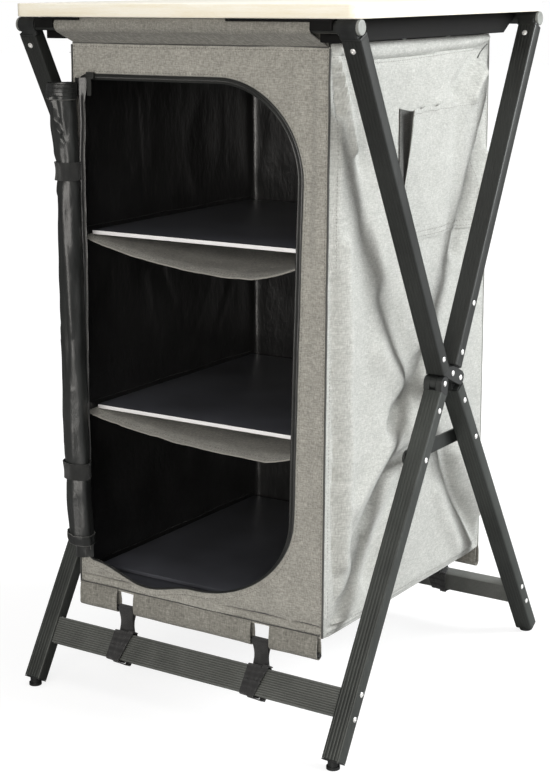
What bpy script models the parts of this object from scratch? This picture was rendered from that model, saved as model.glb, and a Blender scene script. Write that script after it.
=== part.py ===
# Fabric camp kitchen cupboard on a folding scissor frame.
# Metres. X runs to the right, Y to the back, Z up; the front with the opening faces -Y.
# The origin is on the floor, in the middle of the four feet.

from math import asin, atan2, copysign, cos, pi, sin, sqrt

import bmesh
import bpy
from mathutils import Matrix, Vector

# Frame, side view
rail_height = 0.846
rail_spread = 0.224
hub_height = 0.424
foot_spread = 0.26
foot_rise = 0.009
upper_tube_offset = 0.012
lower_tube_offset = 0.0075
knee_spread = 0.0205
knee_drop = 0.0093

# Frame, tubes and bars
frame_width = 0.4826
tube_width = 0.025
tube_depth = 0.018
tube_wall = 0.0015
tube_corner = 0.0028
upper_tube_start = 0.0125
lower_tube_start = 0.0115
rail_radius = 0.007
rail_cap_radius = 0.0085
rail_cap_length = 0.0028
crossbar_height = 0.035
crossbar_depth = 0.014
crossbar_wall = 0.0016
crossbar_corner = 0.002
crossbar_rise = 0.066

# Joints of the frame
knuckle_radius = 0.009
tongue_width = 0.008
pivot_radius = 0.003
plug_length = 0.02
plug_overlap = 0.0012
barrel_radius = 0.0089
barrel_width = 0.0247
collar_gap = 0.0094
collar_length = 0.0026
neck_inset = 0.0006
brace_width = 0.018
brace_thickness = 0.003
brace_drop = 0.0955
brace_height = hub_height - brace_drop

# Feet
foot_cap_length = 0.0015
glide_radius = 0.0082
glide_height = 0.0035
glide_neck_radius = 0.0065
glide_neck_height = 0.0115

# Worktop
top_rise = 0.025
top_thickness = 0.016
top_side_overhang = 0.0002
top_end_overhang = 0.011
top_height = rail_height + top_rise
top_width = frame_width + 2 * top_side_overhang
top_depth = 2 * (rail_spread + top_end_overhang)
top_corner = 0.012
batten_inset = 0.0318
batten_width = 0.028
batten_outer = frame_width / 2 - batten_inset
batten_inner = batten_outer - batten_width
batten_drop = 0.0255
saddle_half = 0.0108
saddle_drop = 0.0035
release_reach = 0.075
lift_per_radian = 0.5

# Fabric body
body_inset = 0.0573
body_width = frame_width - 2 * body_inset
half_body = body_width / 2
panel_thickness = 0.002
panel_drop = 0.0225
side_drop = 0.019
panel_top = rail_height - panel_drop
side_top = rail_height - side_drop
front_inset = 0.028
back_inset = 0.031
panel_top_front = rail_spread - front_inset
back_face = rail_spread - back_inset
panel_lean_share = 0.025
hem_height = 0.135
sleeve_radius = 0.0087
sleeve_inset = 0.0035
sleeve_half_width = half_body - sleeve_inset
seam_radius = 0.0016
seam_lift = 0.0024

# Opening with its zip
opening_left_border = 0.012
opening_right_border = 0.039
opening_top_border = 0.0425
opening_bottom_border = 0.026
opening_left = opening_left_border - half_body
opening_right = half_body - opening_right_border
opening_top = panel_top - opening_top_border
opening_bottom = hem_height + opening_bottom_border
opening_radius = 0.112
opening_small_radius = 0.012
opening_taper = 0.008
opening_sag = 0.017
opening_left_rise = 0.01
zip_margin = 0.0005
zip_width = 0.0075
zip_thickness = 0.0012
slider_inset = 0.0185
slider_start = opening_left + slider_inset
slider_length = 0.011
slider_height = 0.008
slider_thickness = 0.004
pull_width = 0.006
pull_length = 0.024
pull_thickness = 0.0016

# Rolled door
door_inset = 0.006
door_radius = 0.0168
door_top_drop = 0.004
door_bottom_rise = 0.037
door_centre = opening_left - door_inset
door_top = opening_top - door_top_drop
door_bottom = opening_bottom + door_bottom_rise

# Hem rods and straps
rod_radius = 0.0032
rod_drop = 0.0225
rod_inset = 0.003
rod_height = hem_height - rod_drop
rod_end = half_body - rod_inset
hem_radius = 0.0052
hem_inset = 0.0004
strap_inset = 0.074
strap_inset_right = 0.087
front_strap_left = strap_inset - half_body
front_strap_right = half_body - strap_inset_right
rear_strap_reach = half_body - strap_inset
strap_width = 0.024
strap_thickness = 0.0022
strap_loop_radius = 0.0056
notch_half = 0.014
strap_gap = 0.0006

# Shelves and slings
board_side_room = 0.006
board_back_room = 0.014
board_width = body_width - 2 * board_side_room
board_depth = 2 * (back_face - board_back_room)
board_thickness = 0.005
upper_shelf_drop = 0.2305
shelf_spacing = 0.225
floor_rise = 0.0125
upper_shelf_top = panel_top - upper_shelf_drop
lower_shelf_top = upper_shelf_top - shelf_spacing
floor_height = hem_height + floor_rise
floor_thickness = 0.0025
sling_thickness = 0.0015
upper_sling_drop = 0.031
lower_sling_drop = 0.022
sling_drop_back = 0.006
sling_ease = 0.0012

# Side pocket
pocket_width = 0.194
pocket_height = 0.1615
pocket_back_border = 0.049
pocket_top_border = 0.079
pocket_slit = 0.067
pocket_back = back_face - pocket_back_border
pocket_front = pocket_back - pocket_width
pocket_top = side_top - pocket_top_border
pocket_bottom = pocket_top - pocket_height
pocket_slit_bottom = pocket_top - pocket_slit
pocket_depth_bottom = 0.009
pocket_depth_front = 0.018
pocket_depth_back = 0.011
pocket_wall = 0.0018

# Clearances
gap = 0.0003
running_gap = 0.0005
overrun = 0.01

# Counts and shares
round_sides = 24
fine_sides = 32
corner_steps = 3
arc_steps = 8
sling_columns = 24
sling_rows = 7
sling_skew_share = 1.27
sling_flat_share = 0.75
sag_points = 10
door_ring_shares = ((0.0, 1.1, -0.6), (0.02, 1.19, -0.63), (0.08, 1.13, -0.5), (0.14, 1.02, -0.32),
                    (0.185, 0.93, -0.24), (0.23, 0.99, -0.2), (0.45, 1.02, 0.0), (0.7, 0.99, 0.2),
                    (0.8, 1.01, 0.27), (0.845, 0.95, 0.3), (0.89, 1.02, 0.32), (0.98, 1.05, 0.36),
                    (1.0, 0.95, 0.36))
door_flatness_share = 0.94

tube_middle = (frame_width - tube_width) / 2
inner_plane = frame_width / 2 - tube_width
hub = Vector((0, hub_height))


# Materials

def linear(level):
    level = level / 255
    return level / 12.92 if level <= 0.04045 else ((level + 0.055) / 1.055) ** 2.4


def make_material(name, colour, roughness, metallic=0.0):
    material = bpy.data.materials.new(name)
    material.use_nodes = True
    shader = material.node_tree.nodes["Principled BSDF"]
    shader.inputs["Base Color"].default_value = (*[linear(level) for level in colour], 1)
    shader.inputs["Roughness"].default_value = roughness
    shader.inputs["Metallic"].default_value = metallic
    return material


# Plane outlines, as lists of two coordinates

def circle(centre, radius, sides=round_sides):
    steps = [2 * pi * index / sides for index in range(sides)]
    return [(centre[0] + radius * cos(step), centre[1] + radius * sin(step)) for step in steps]


def rounded_rectangle(width, height, radius, steps=corner_steps):
    points = []
    for quarter, (across, up) in enumerate(((1, 1), (-1, 1), (-1, -1), (1, -1))):
        for step in range(steps + 1):
            angle = pi / 2 * (quarter + step / steps)
            points.append((across * (width / 2 - radius) + radius * cos(angle),
                           up * (height / 2 - radius) + radius * sin(angle)))
    return points


def turn_of(first, second, third):
    return ((second[0] - first[0]) * (third[1] - first[1])
            - (second[1] - first[1]) * (third[0] - first[0]))


def half_hull(points):
    chain = []
    for point in points:
        while len(chain) > 1 and turn_of(chain[-2], chain[-1], point) <= 0:
            chain.pop()
        chain.append(point)
    return chain[:-1]


def hull(points):
    points = sorted(set((point[0], point[1]) for point in points))
    return half_hull(points) + half_hull(points[::-1])


def corner_arc(centre, radius, quarter):
    angles = [pi / 2 * (quarter + step / arc_steps) for step in range(arc_steps + 1)]
    return [(centre[0] + radius * cos(angle), centre[1] + radius * sin(angle)) for angle in angles]


def opening_outline(margin):
    # The right corners are wide arcs and the left ones small; the bottom edge sags between them.
    right = opening_right - opening_radius
    left = opening_left + opening_small_radius
    wide, small = opening_radius + margin, opening_small_radius + margin
    points = corner_arc((right, opening_top - opening_radius), wide, 0)
    points += corner_arc((left, opening_top - opening_small_radius), small, 1)
    points += corner_arc((left, opening_bottom + opening_left_rise + opening_small_radius), small, 2)
    for step in range(1, sag_points):
        share = step / sag_points
        dip = opening_sag * (1 - cos(2 * pi * share)) / 2
        points.append((left + (right - opening_taper - left) * share,
                       opening_bottom + opening_left_rise * (1 - share) - dip - margin))
    points += corner_arc((right - opening_taper, opening_bottom + opening_radius), wide, 3)
    return points


# Solids, as bmesh

def finished(shape):
    bmesh.ops.recalc_face_normals(shape, faces=shape.faces)
    return shape


def loop_of(shape, points):
    corners = [shape.verts.new(point) for point in points]
    edges = [shape.edges.new((corners[index - 1], corners[index])) for index in range(len(corners))]
    return corners, edges


def extruded(points, offset):
    shape = bmesh.new()
    face = shape.faces.new([shape.verts.new(point) for point in points])
    moved = bmesh.ops.extrude_face_region(shape, geom=[face])["geom"]
    bmesh.ops.translate(shape, verts=[item for item in moved if isinstance(item, bmesh.types.BMVert)],
                        vec=offset)
    return finished(shape)


def extruded_ring(outer, inner, offset):
    shape = bmesh.new()
    outer_edges = loop_of(shape, outer)[1]
    inner_edges = loop_of(shape, inner)[1]
    faces = bmesh.ops.bridge_loops(shape, edges=outer_edges + inner_edges)["faces"]
    moved = bmesh.ops.extrude_face_region(shape, geom=faces)["geom"]
    bmesh.ops.translate(shape, verts=[item for item in moved if isinstance(item, bmesh.types.BMVert)],
                        vec=offset)
    return finished(shape)


def across(outline, low, high):
    # An outline in (y, z), extruded along X from low to high.
    return extruded([(low, y, z) for y, z in outline], (high - low, 0, 0))


def across_ring(outer, inner, low, high):
    return extruded_ring([(low, y, z) for y, z in outer], [(low, y, z) for y, z in inner],
                         (high - low, 0, 0))


def upright(outline, low, high):
    # An outline in (x, y), extruded up from low to high.
    return extruded([(x, y, low) for x, y in outline], (0, 0, high - low))


def block(low, high):
    outline = [(low[1], low[2]), (high[1], low[2]), (high[1], high[2]), (low[1], high[2])]
    return across(outline, low[0], high[0])


def lofted(rings):
    shape = bmesh.new()
    loops = [[shape.verts.new(point) for point in ring] for ring in rings]
    for lower, upper in zip(loops, loops[1:]):
        for index in range(len(lower)):
            shape.faces.new((lower[index - 1], lower[index], upper[index], upper[index - 1]))
    shape.faces.new(loops[0])
    shape.faces.new(loops[-1])
    return finished(shape)


def along(start, direction, middle):
    # Turns X, depth and length of a bar to world X, the bar's normal and its direction.
    length_axis = Vector((0, direction[0], direction[1]))
    width_axis = Vector((1, 0, 0))
    depth_axis = length_axis.cross(width_axis)
    turned = Matrix((width_axis, depth_axis, length_axis)).transposed().to_4x4()
    return Matrix.Translation((middle, start[0], start[1])) @ turned


def bar(width, depth, corner, length, matrix):
    shape = upright(rounded_rectangle(width, depth, corner), 0, length)
    shape.transform(matrix)
    return shape


def hollow_bar(width, depth, corner, wall, length, matrix):
    outer = [(x, y, 0) for x, y in rounded_rectangle(width, depth, corner)]
    inner = [(x, y, 0) for x, y in rounded_rectangle(width - 2 * wall, depth - 2 * wall, corner - wall)]
    shape = extruded_ring(outer, inner, (0, 0, length))
    shape.transform(matrix)
    return shape


def temporary(shape):
    mesh = bpy.data.meshes.new("shape")
    shape.to_mesh(mesh)
    shape.free()
    item = bpy.data.objects.new("shape", mesh)
    bpy.context.scene.collection.objects.link(item)
    return item


def combined(base, joins=(), cuts=()):
    target = temporary(base)
    tools = []
    for operation, solids in (("UNION", joins), ("DIFFERENCE", cuts)):
        for solid in solids:
            tools.append(temporary(solid))
            step = target.modifiers.new("combine", "BOOLEAN")
            step.operation = operation
            step.object = tools[-1]
    result = bmesh.new()
    result.from_object(target, bpy.context.evaluated_depsgraph_get())
    for item in [target, *tools]:
        mesh = item.data
        bpy.data.objects.remove(item)
        bpy.data.meshes.remove(mesh)
    return result


# Bodies and nodes

def make_pivot(name, y, z, parent=None):
    pivot = bpy.data.objects.new(name, None)
    bpy.context.scene.collection.objects.link(pivot)
    pivot.location = (0, y, z)
    if parent:
        pivot.parent = parent
        pivot.matrix_parent_inverse = world_place(parent).inverted()
    return pivot


def world_place(item):
    return Matrix.Translation(item.location)


def make_node(name, shape, material, pivot):
    mesh = bpy.data.meshes.new(name)
    place = world_place(pivot)
    shape.transform(place.inverted())
    shape.to_mesh(mesh)
    shape.free()
    mesh.materials.append(material)
    mesh.shade_smooth()
    mesh.set_sharp_from_angle(angle=pi / 6)
    node = bpy.data.objects.new(name, mesh)
    bpy.context.scene.collection.objects.link(node)
    node.parent = pivot
    return node


# Lines of the tubes in the side view, facing -1 at the front and 1 at the back

def tube_line(facing, spread, height, offset):
    # The line to (spread, height) that passes the hub at offset, on its own side.
    reach = Vector((spread, height - hub_height))
    length = sqrt(reach.length ** 2 - offset ** 2)
    heading = atan2(reach.y, reach.x) + copysign(asin(offset / reach.length), reach.y)
    direction = Vector((cos(heading), sin(heading)))
    near = reach - direction * length
    return (Vector((facing * near.x, hub_height + near.y)),
            Vector((facing * direction.x, direction.y)), length)


def knee_point(facing):
    return Vector((facing * knee_spread, hub_height - knee_drop))


def rail_point(facing):
    return Vector((facing * rail_spread, rail_height))


def upper_line(facing):
    return tube_line(facing, rail_spread, rail_height, upper_tube_offset)


def lower_line(facing):
    return tube_line(facing, foot_spread, foot_rise, lower_tube_offset)


def lower_start(facing):
    # Where the lower tube begins, measured along its line.
    near, direction, length = lower_line(facing)
    return (knee_point(facing) - near).dot(direction) + lower_tube_start


def normal_of(direction):
    return Vector((-direction.y, direction.x))


def section_corners(point, direction, depth):
    side = normal_of(direction) * (depth / 2)
    return [tuple(point - side), tuple(point + side)]


def tube_upper(name, facing, side):
    near, direction, length = upper_line(facing)
    top = length - collar_gap - collar_length - gap
    matrix = along(near + direction * upper_tube_start, direction, side * tube_middle)
    shape = hollow_bar(tube_width, tube_depth, tube_corner, tube_wall, top - upper_tube_start, matrix)
    make_node(name, shape, anodised, frame_pivots[facing])


def tube_lower(name, facing, side):
    near, direction, length = lower_line(facing)
    start = lower_start(facing)
    matrix = along(near + direction * start, direction, side * tube_middle)
    shape = hollow_bar(tube_width, tube_depth, tube_corner, tube_wall, length - start, matrix)
    make_node(name, shape, anodised, knee_pivots[facing])


def plug(start, direction, side, length):
    inset = 2 * (tube_wall + gap)
    matrix = along(start, direction, side * tube_middle)
    return bar(tube_width - inset, tube_depth - inset, tube_corner - tube_wall, length, matrix)


def make_rail(name, facing):
    rail = rail_point(facing)
    reach = frame_width / 2 - rail_cap_length
    shape = across(circle(rail, rail_radius), -reach, reach)
    caps = [across(circle(rail, rail_cap_radius), side * reach, side * frame_width / 2)
            for side in (-1, 1)]
    make_node(name, combined(shape, joins=caps), anodised, frame_pivots[facing])


def make_corner(name, facing, side):
    # Barrel on the rail, a collar on the tube's end and a plug inside the tube.
    rail = rail_point(facing)
    near, direction, length = upper_line(facing)
    outer = frame_width / 2 - rail_cap_length - gap
    ends = sorted((side * (outer - barrel_width), side * outer))
    barrel = across(circle(rail, barrel_radius, fine_sides), *ends)
    down = -direction
    neck_width = barrel_width - 2 * neck_inset
    neck_middle = side * (outer - barrel_width / 2)
    neck = bar(neck_width, tube_depth - 2 * neck_inset, tube_corner, collar_gap + collar_length / 2,
               along(rail, down, neck_middle))
    collar = bar(tube_width, tube_depth, tube_corner, collar_length,
                 along(rail + down * collar_gap, down, side * tube_middle))
    inner = plug(rail + down * (collar_gap + collar_length - plug_overlap), down, side,
                 plug_length + plug_overlap)
    bore = across(circle(rail, rail_radius + gap), ends[0] - overrun, ends[1] + overrun)
    make_node(name, combined(barrel, joins=(neck, collar, inner), cuts=(bore,)), moulded,
              frame_pivots[facing])


def layers(side, kind):
    # Spans along X of the two ears or of the tongue between them.
    middle = side * tube_middle
    if kind == "tongue":
        return [(middle - tongue_width / 2, middle + tongue_width / 2)]
    slot = tongue_width / 2 + gap
    return [(middle - tube_width / 2, middle - slot), (middle + slot, middle + tube_width / 2)]


def pin(point, side):
    middle = side * tube_middle
    reach = tube_width / 2 - gap
    return across(circle(point, pivot_radius), middle - reach, middle + reach)


def bore(point, side):
    middle = side * tube_middle
    reach = tube_width / 2 + overrun
    return across(circle(point, pivot_radius + gap), middle - reach, middle + reach)


def make_hub_arm(name, facing, side, kind):
    # Carries the hub pivot and the knee on the other side of the hub, and plugs the tube.
    near, direction, length = upper_line(facing)
    knee = knee_point(-facing)
    clear_knee = knee_point(facing)
    tube_end = near + direction * (upper_tube_start - gap)
    solids = []
    for low, high in layers(side, kind):
        link = hull(circle(hub, knuckle_radius) + circle(knee, knuckle_radius))
        root = hull(circle(hub, knuckle_radius) + section_corners(tube_end, direction, tube_depth))
        solids += [across(link, low, high), across(root, low, high)]
    solids.append(plug(tube_end - direction * plug_overlap, direction, side,
                       plug_length + plug_overlap))
    middle = side * tube_middle
    reach = tube_width / 2 + overrun
    cuts = [across(circle(clear_knee, knuckle_radius + running_gap), middle - reach, middle + reach)]
    if kind == "tongue":
        cuts += [bore(hub, side), bore(knee, side)]
    else:
        solids += [pin(hub, side), pin(knee, side)]
    make_node(name, combined(solids[0], joins=solids[1:], cuts=cuts), moulded, frame_pivots[facing])


def make_knee(name, facing, side, kind):
    near, direction, length = lower_line(facing)
    knee = knee_point(facing)
    tube_end = near + direction * (lower_start(facing) - gap)
    solids = []
    for low, high in layers(side, kind):
        root = hull(circle(knee, knuckle_radius) + section_corners(tube_end, direction, tube_depth))
        solids.append(across(root, low, high))
    solids.append(plug(tube_end - direction * plug_overlap, direction, side,
                       plug_length + plug_overlap))
    cuts = []
    if kind == "tongue":
        cuts.append(bore(knee, side))
    else:
        solids.append(pin(knee, side))
    make_node(name, combined(solids[0], joins=solids[1:], cuts=cuts), moulded, knee_pivots[facing])


def make_foot(name, facing, side):
    near, direction, length = lower_line(facing)
    end = near + direction * length
    middle = side * tube_middle
    cap = bar(tube_width, tube_depth, tube_corner, foot_cap_length,
              along(end + direction * gap, direction, middle))
    inner = plug(end - direction * (plug_length - plug_overlap), direction, side, plug_length)
    seat = end + direction * foot_cap_length
    glide = upright(circle((middle, seat.x), glide_radius), 0, glide_height)
    neck = upright(circle((middle, seat.x), glide_neck_radius), glide_height / 2, glide_neck_height)
    make_node(name, combined(cap, joins=(inner, neck, glide)), moulded, knee_pivots[facing])


def crossbar_frame(facing):
    # Middle of the bar and its direction towards the hub.
    near, direction, length = lower_line(facing)
    distance = (crossbar_rise - near.y) / direction.y
    return near + direction * distance, -direction


def crossbar_outline(facing, height, depth):
    middle, up = crossbar_frame(facing)
    side = normal_of(up)
    points = rounded_rectangle(depth, height, crossbar_corner)
    return [tuple(middle + side * across_share + up * up_share) for across_share, up_share in points]


def make_crossbar(name, facing):
    reach = inner_plane - gap
    hollow = 2 * crossbar_wall
    shape = across_ring(crossbar_outline(facing, crossbar_height, crossbar_depth),
                        crossbar_outline(facing, crossbar_height - hollow, crossbar_depth - hollow),
                        -reach, reach)
    make_node(name, shape, anodised, knee_pivots[facing])


def make_cuff(name, facing, strap_x):
    # Webbing wrapped round the crossbar.
    room = 2 * gap
    wrap = room + 2 * strap_thickness
    shape = across_ring(crossbar_outline(facing, crossbar_height + wrap, crossbar_depth + wrap),
                        crossbar_outline(facing, crossbar_height + room, crossbar_depth + room),
                        strap_x - strap_width / 2, strap_x + strap_width / 2)
    make_node(name, shape, webbing, knee_pivots[facing])


def front_face(height):
    # Y of the front panel's outer face, which leans forward towards the floor.
    return -panel_top_front - (panel_top - height) * panel_lean_share


def rod_point(facing):
    if facing < 0:
        return Vector((front_face(hem_height) + panel_thickness / 2, rod_height))
    return Vector((back_face - panel_thickness / 2, rod_height))


def make_strap(name, facing, strap_x):
    # Loops round the hem rod and hangs down to the cuff on the crossbar.
    rod = rod_point(facing)
    middle, up = crossbar_frame(facing)
    crown = crossbar_height / 2 + gap + strap_thickness
    seat = middle + up * crown
    low, high = strap_x - strap_width / 2, strap_x + strap_width / 2
    tail = hull(circle(rod, strap_thickness) + circle(seat, strap_thickness))
    side = normal_of(up)
    reach = crossbar_height
    limit = middle + up * (crown + strap_gap)
    trim = [tuple(limit - side * reach), tuple(limit + side * reach),
            tuple(limit + side * reach - up * reach), tuple(limit - side * reach - up * reach)]
    loop = across(circle(rod, strap_loop_radius), low, high)
    shape = combined(loop, joins=(across(tail, low, high),),
                     cuts=(across(circle(rod, rod_radius + gap), low - overrun, high + overrun),
                           across(trim, low - overrun, high + overrun)))
    make_node(name, shape, webbing, frame_pivots[-1])


def make_rod(name, facing):
    shape = across(circle(rod_point(facing), rod_radius, round_sides // 2), -rod_end, rod_end)
    make_node(name, shape, anodised, frame_pivots[-1])


def brace_end(facing):
    near, direction, length = lower_line(facing)
    return near + direction * ((brace_height - near.y) / direction.y)


def make_brace(name, side):
    # Flat bar on the inner faces of the two lower tubes, pivoted at the rear one.
    outline = hull(circle(brace_end(-1), brace_width / 2) + circle(brace_end(1), brace_width / 2))
    outer = inner_plane - gap
    span = sorted((side * outer, side * (outer - brace_thickness)))
    make_node(name, across(outline, *span), anodised, brace_pivots[side])


# Worktop

def make_worktop():
    outline = rounded_rectangle(top_width, top_depth, top_corner)
    shape = upright(outline, top_height - top_thickness, top_height)
    make_node("worktop", shape, laminate, worktop_pivot)


def make_batten(name, side):
    # Runs under the worktop from rail to rail and sits on both rails with a saddle.
    low, high = sorted((side * batten_inner, side * batten_outer))
    crest = top_height - top_thickness - gap
    front, back = rail_point(-1), rail_point(1)
    saddle_low = rail_height - saddle_drop
    main_end = front.x + saddle_half
    outline = [(front.x - saddle_half, saddle_low), (main_end, saddle_low), (main_end, crest - batten_drop),
               (-main_end - batten_drop, crest - batten_drop), (-main_end, rail_height),
               (back.x, saddle_low), (back.x + saddle_half, saddle_low), (back.x + saddle_half, crest),
               (front.x - saddle_half, crest)]
    room = rail_radius + gap
    front_slot = hull(circle(front, room)
                      + [(front.x - room, saddle_low - overrun), (front.x + room, saddle_low - overrun)])
    # The rear rail leaves its saddle forwards and down, seen from the rising worktop.
    swing = rail_point(1) - hub
    leaving = Vector((-swing.y, swing.x - lift_per_radian)).normalized()
    rear_slot = hull(circle(back, room) + circle(back + leaving * release_reach, room)
                     + [(back.x + room, saddle_low - overrun)])
    shape = combined(across(outline, low, high),
                     cuts=(across(front_slot, low - overrun, high + overrun),
                           across(rear_slot, low - overrun, high + overrun)))
    make_node(name, shape, moulded, worktop_pivot)


# Fabric body

def make_sleeve(name, facing):
    # Fabric round the rail, drawn down to the seam at the panel's top edge.
    rail = rail_point(facing)
    face = front_face(panel_top) if facing < 0 else back_face
    seam = Vector((face - facing * panel_thickness / 2, panel_top + seam_lift))
    outer = hull(circle(rail, sleeve_radius) + circle(seam, seam_radius))
    inner = circle(rail, rail_radius + gap)
    shape = across_ring(outer, inner, -sleeve_half_width, sleeve_half_width)
    make_node(name, shape, fabric, frame_pivots[facing])


def hem_loops(facing, top, straps):
    # Lengths of fabric loop round the hem rod, with a notch at each strap.
    rod = rod_point(facing)
    stops = [-half_body] + [edge for strap in straps for edge in (strap - notch_half, strap + notch_half)]
    stops.append(half_body)
    inset = panel_thickness / 2 - hem_inset
    outline = hull(circle(rod, hem_radius) + [(rod.x - inset, top), (rod.x + inset, top)])
    hole = circle(rod, rod_radius + gap)
    return [across_ring(outline, hole, low, high) for low, high in zip(stops[::2], stops[1::2])]


def lean(shape):
    for corner in shape.verts:
        corner.co.y += front_face(corner.co.z)
    return shape


def make_front_panel():
    outer = [(half_body, 0, panel_top), (-half_body, 0, panel_top),
             (-half_body, 0, hem_height), (half_body, 0, hem_height)]
    inner = [(x, 0, z) for x, z in opening_outline(0)]
    shape = lean(extruded_ring(outer, inner, (0, panel_thickness, 0)))
    top = hem_height + panel_thickness
    shape = combined(shape, joins=hem_loops(-1, top, (front_strap_left, front_strap_right)))
    make_node("front_panel", shape, fabric, frame_pivots[-1])


def make_back_panel():
    shape = block((-half_body, back_face - panel_thickness, hem_height), (half_body, back_face, panel_top))
    top = hem_height + panel_thickness
    shape = combined(shape, joins=hem_loops(1, top, (-rear_strap_reach, rear_strap_reach)))
    make_node("back_panel", shape, fabric, frame_pivots[-1])


def make_side_panel(name, side):
    span = sorted((side * half_body, side * (half_body - panel_thickness)))
    inset = panel_thickness + gap
    outline = [(front_face(hem_height) + inset, hem_height), (back_face - inset, hem_height),
               (back_face - inset, side_top), (front_face(side_top) + inset, side_top)]
    make_node(name, across(outline, *span), fabric, frame_pivots[-1])


def inside_width():
    return half_body - panel_thickness - gap


def make_floor_panel():
    inset = panel_thickness + gap
    reach = inside_width()
    bottom = floor_height - floor_thickness
    outline = [(front_face(bottom) + inset, bottom), (back_face - inset, bottom),
               (back_face - inset, floor_height), (front_face(floor_height) + inset, floor_height)]
    make_node("floor_panel", across(outline, -reach, reach), fabric, frame_pivots[-1])


def make_board(name, top):
    half = board_depth / 2
    shape = block((-board_width / 2, -half, top - board_thickness), (board_width / 2, half, top))
    make_node(name, shape, board, board_pivots[name])


def make_sling(name, board_top, drop_front):
    # The cloth under a board, deepest at its open front edge and right of the middle.
    reach = inside_width()
    edge = board_top - board_thickness - gap
    front = front_face(edge) + panel_thickness + sling_ease
    back = back_face - panel_thickness - gap
    shape = bmesh.new()
    rows = []
    for row in range(sling_rows + 1):
        back_share = row / sling_rows
        drop = drop_front + (sling_drop_back - drop_front) * back_share
        corners = []
        for column in range(sling_columns + 1):
            across_share = column / sling_columns
            dip = drop * max(0, sin(pi * across_share ** sling_skew_share)) ** sling_flat_share
            corners.append(shape.verts.new((reach * (2 * across_share - 1),
                                            front + (back - front) * back_share, edge - dip)))
        rows.append(corners)
    faces = []
    for near_row, far_row in zip(rows, rows[1:]):
        for column in range(sling_columns):
            faces.append(shape.faces.new((near_row[column], near_row[column + 1],
                                          far_row[column + 1], far_row[column])))
    moved = bmesh.ops.extrude_face_region(shape, geom=faces)["geom"]
    bmesh.ops.translate(shape, verts=[item for item in moved if isinstance(item, bmesh.types.BMVert)],
                        vec=(0, 0, -sling_thickness))
    make_node(name, finished(shape), fabric, frame_pivots[-1])


def make_pocket():
    # A flat pocket on the right panel, open at the top and at its gaping front corner.
    face = half_body + gap

    def wedge(front, back, bottom, top, shrink):
        low_x = face - (overrun if shrink else 0)
        corners = [(low_x, front, bottom), (low_x, back, bottom), (low_x, back, top), (low_x, front, top),
                   (face + pocket_depth_bottom - shrink, front, bottom),
                   (face + pocket_depth_bottom - shrink, back, bottom),
                   (face + pocket_depth_back - shrink, back, top),
                   (face + pocket_depth_front - shrink, front, top)]
        return lofted([corners[:4], corners[4:]])

    outer = wedge(pocket_front, pocket_back, pocket_bottom, pocket_top, 0)
    inner = wedge(pocket_front + pocket_wall, pocket_back - pocket_wall, pocket_bottom + pocket_wall,
                  pocket_top + overrun, pocket_wall)
    slit = block((face - overrun, pocket_front - overrun, pocket_slit_bottom),
                 (face + pocket_depth_bottom, pocket_front + 2 * pocket_wall, pocket_top + overrun))
    make_node("side_pocket", combined(outer, cuts=(inner, slit)), fabric, frame_pivots[-1])


def make_zip_track():
    outer = [(x, 0, z) for x, z in opening_outline(zip_margin + zip_width)]
    inner = [(x, 0, z) for x, z in opening_outline(zip_margin)]
    shape = extruded_ring(outer, inner, (0, -zip_thickness, 0))
    bmesh.ops.translate(shape, verts=shape.verts, vec=(0, -gap, 0))
    make_node("zip_track", lean(shape), zip_black, frame_pivots[-1])


def make_zip_slider():
    # Slider body over the track, with its pull hanging in front.
    middle = opening_top + zip_margin + zip_width / 2
    back = -(zip_thickness + 2 * gap)
    front = back - slider_thickness
    body = block((slider_start - slider_length / 2, front, middle - slider_height / 2),
                 (slider_start + slider_length / 2, back, middle + slider_height / 2))
    pull = block((slider_start - pull_width / 2, front - pull_thickness / 2, middle - pull_length),
                 (slider_start + pull_width / 2, front + pull_thickness / 2, middle))
    make_node("zip_slider", lean(combined(body, joins=(pull,))), zip_black, slider_pivot)


def make_rolled_door():
    # The open door panel, rolled up tightly along the left edge of the opening.
    rings = []
    for length_share, radius_share, shift_share in door_ring_shares:
        z = door_top + (door_bottom - door_top) * length_share
        centre = (door_centre + door_radius * shift_share, 0)
        ring = circle(centre, door_radius * radius_share)
        deep = door_radius * radius_share * door_flatness_share
        rings.append([(x, y * door_flatness_share - zip_thickness - 2 * gap - deep, z) for x, y in ring])
    make_node("rolled_door", lean(lofted(rings)), door_black, frame_pivots[-1])


for item in list(bpy.data.objects):
    bpy.data.objects.remove(item)

anodised = make_material("anodised", (62, 64, 62), 0.45, 0.6)
moulded = make_material("moulded", (48, 50, 49), 0.5)
laminate = make_material("laminate", (250, 246, 232), 0.4)
board = make_material("board", (34, 35, 38), 0.45)
fabric = make_material("fabric", (152, 149, 142), 0.9)
webbing = make_material("webbing", (50, 50, 51), 0.85)
door_black = make_material("door_black", (30, 30, 31), 0.35)
zip_black = make_material("zip_black", (40, 40, 40), 0.6)

root_pivot = make_pivot("upper_front_frame", 0, 0)
scissor_pivot = make_pivot("scissor_axis", 0, hub_height)
frame_pivots = {-1: root_pivot, 1: scissor_pivot}
knee_pivots = {-1: make_pivot("front_knee_axis", *knee_point(-1), scissor_pivot),
               1: make_pivot("rear_knee_axis", *knee_point(1), root_pivot)}
worktop_pivot = make_pivot("worktop_lift", 0, top_height - top_thickness, root_pivot)
slider_pivot = make_pivot("zip_run", front_face(opening_top), opening_top, root_pivot)
brace_pivots = {side: make_pivot("brace_axis_" + label, *brace_end(1), knee_pivots[1])
                for side, label in ((-1, "left"), (1, "right"))}
board_tops = {"upper_shelf": upper_shelf_top, "lower_shelf": lower_shelf_top,
              "floor_board": floor_height + gap + board_thickness}
board_pivots = {name: make_pivot(name + "_axis", board_depth / 2, top - board_thickness, root_pivot)
                for name, top in board_tops.items()}

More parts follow.
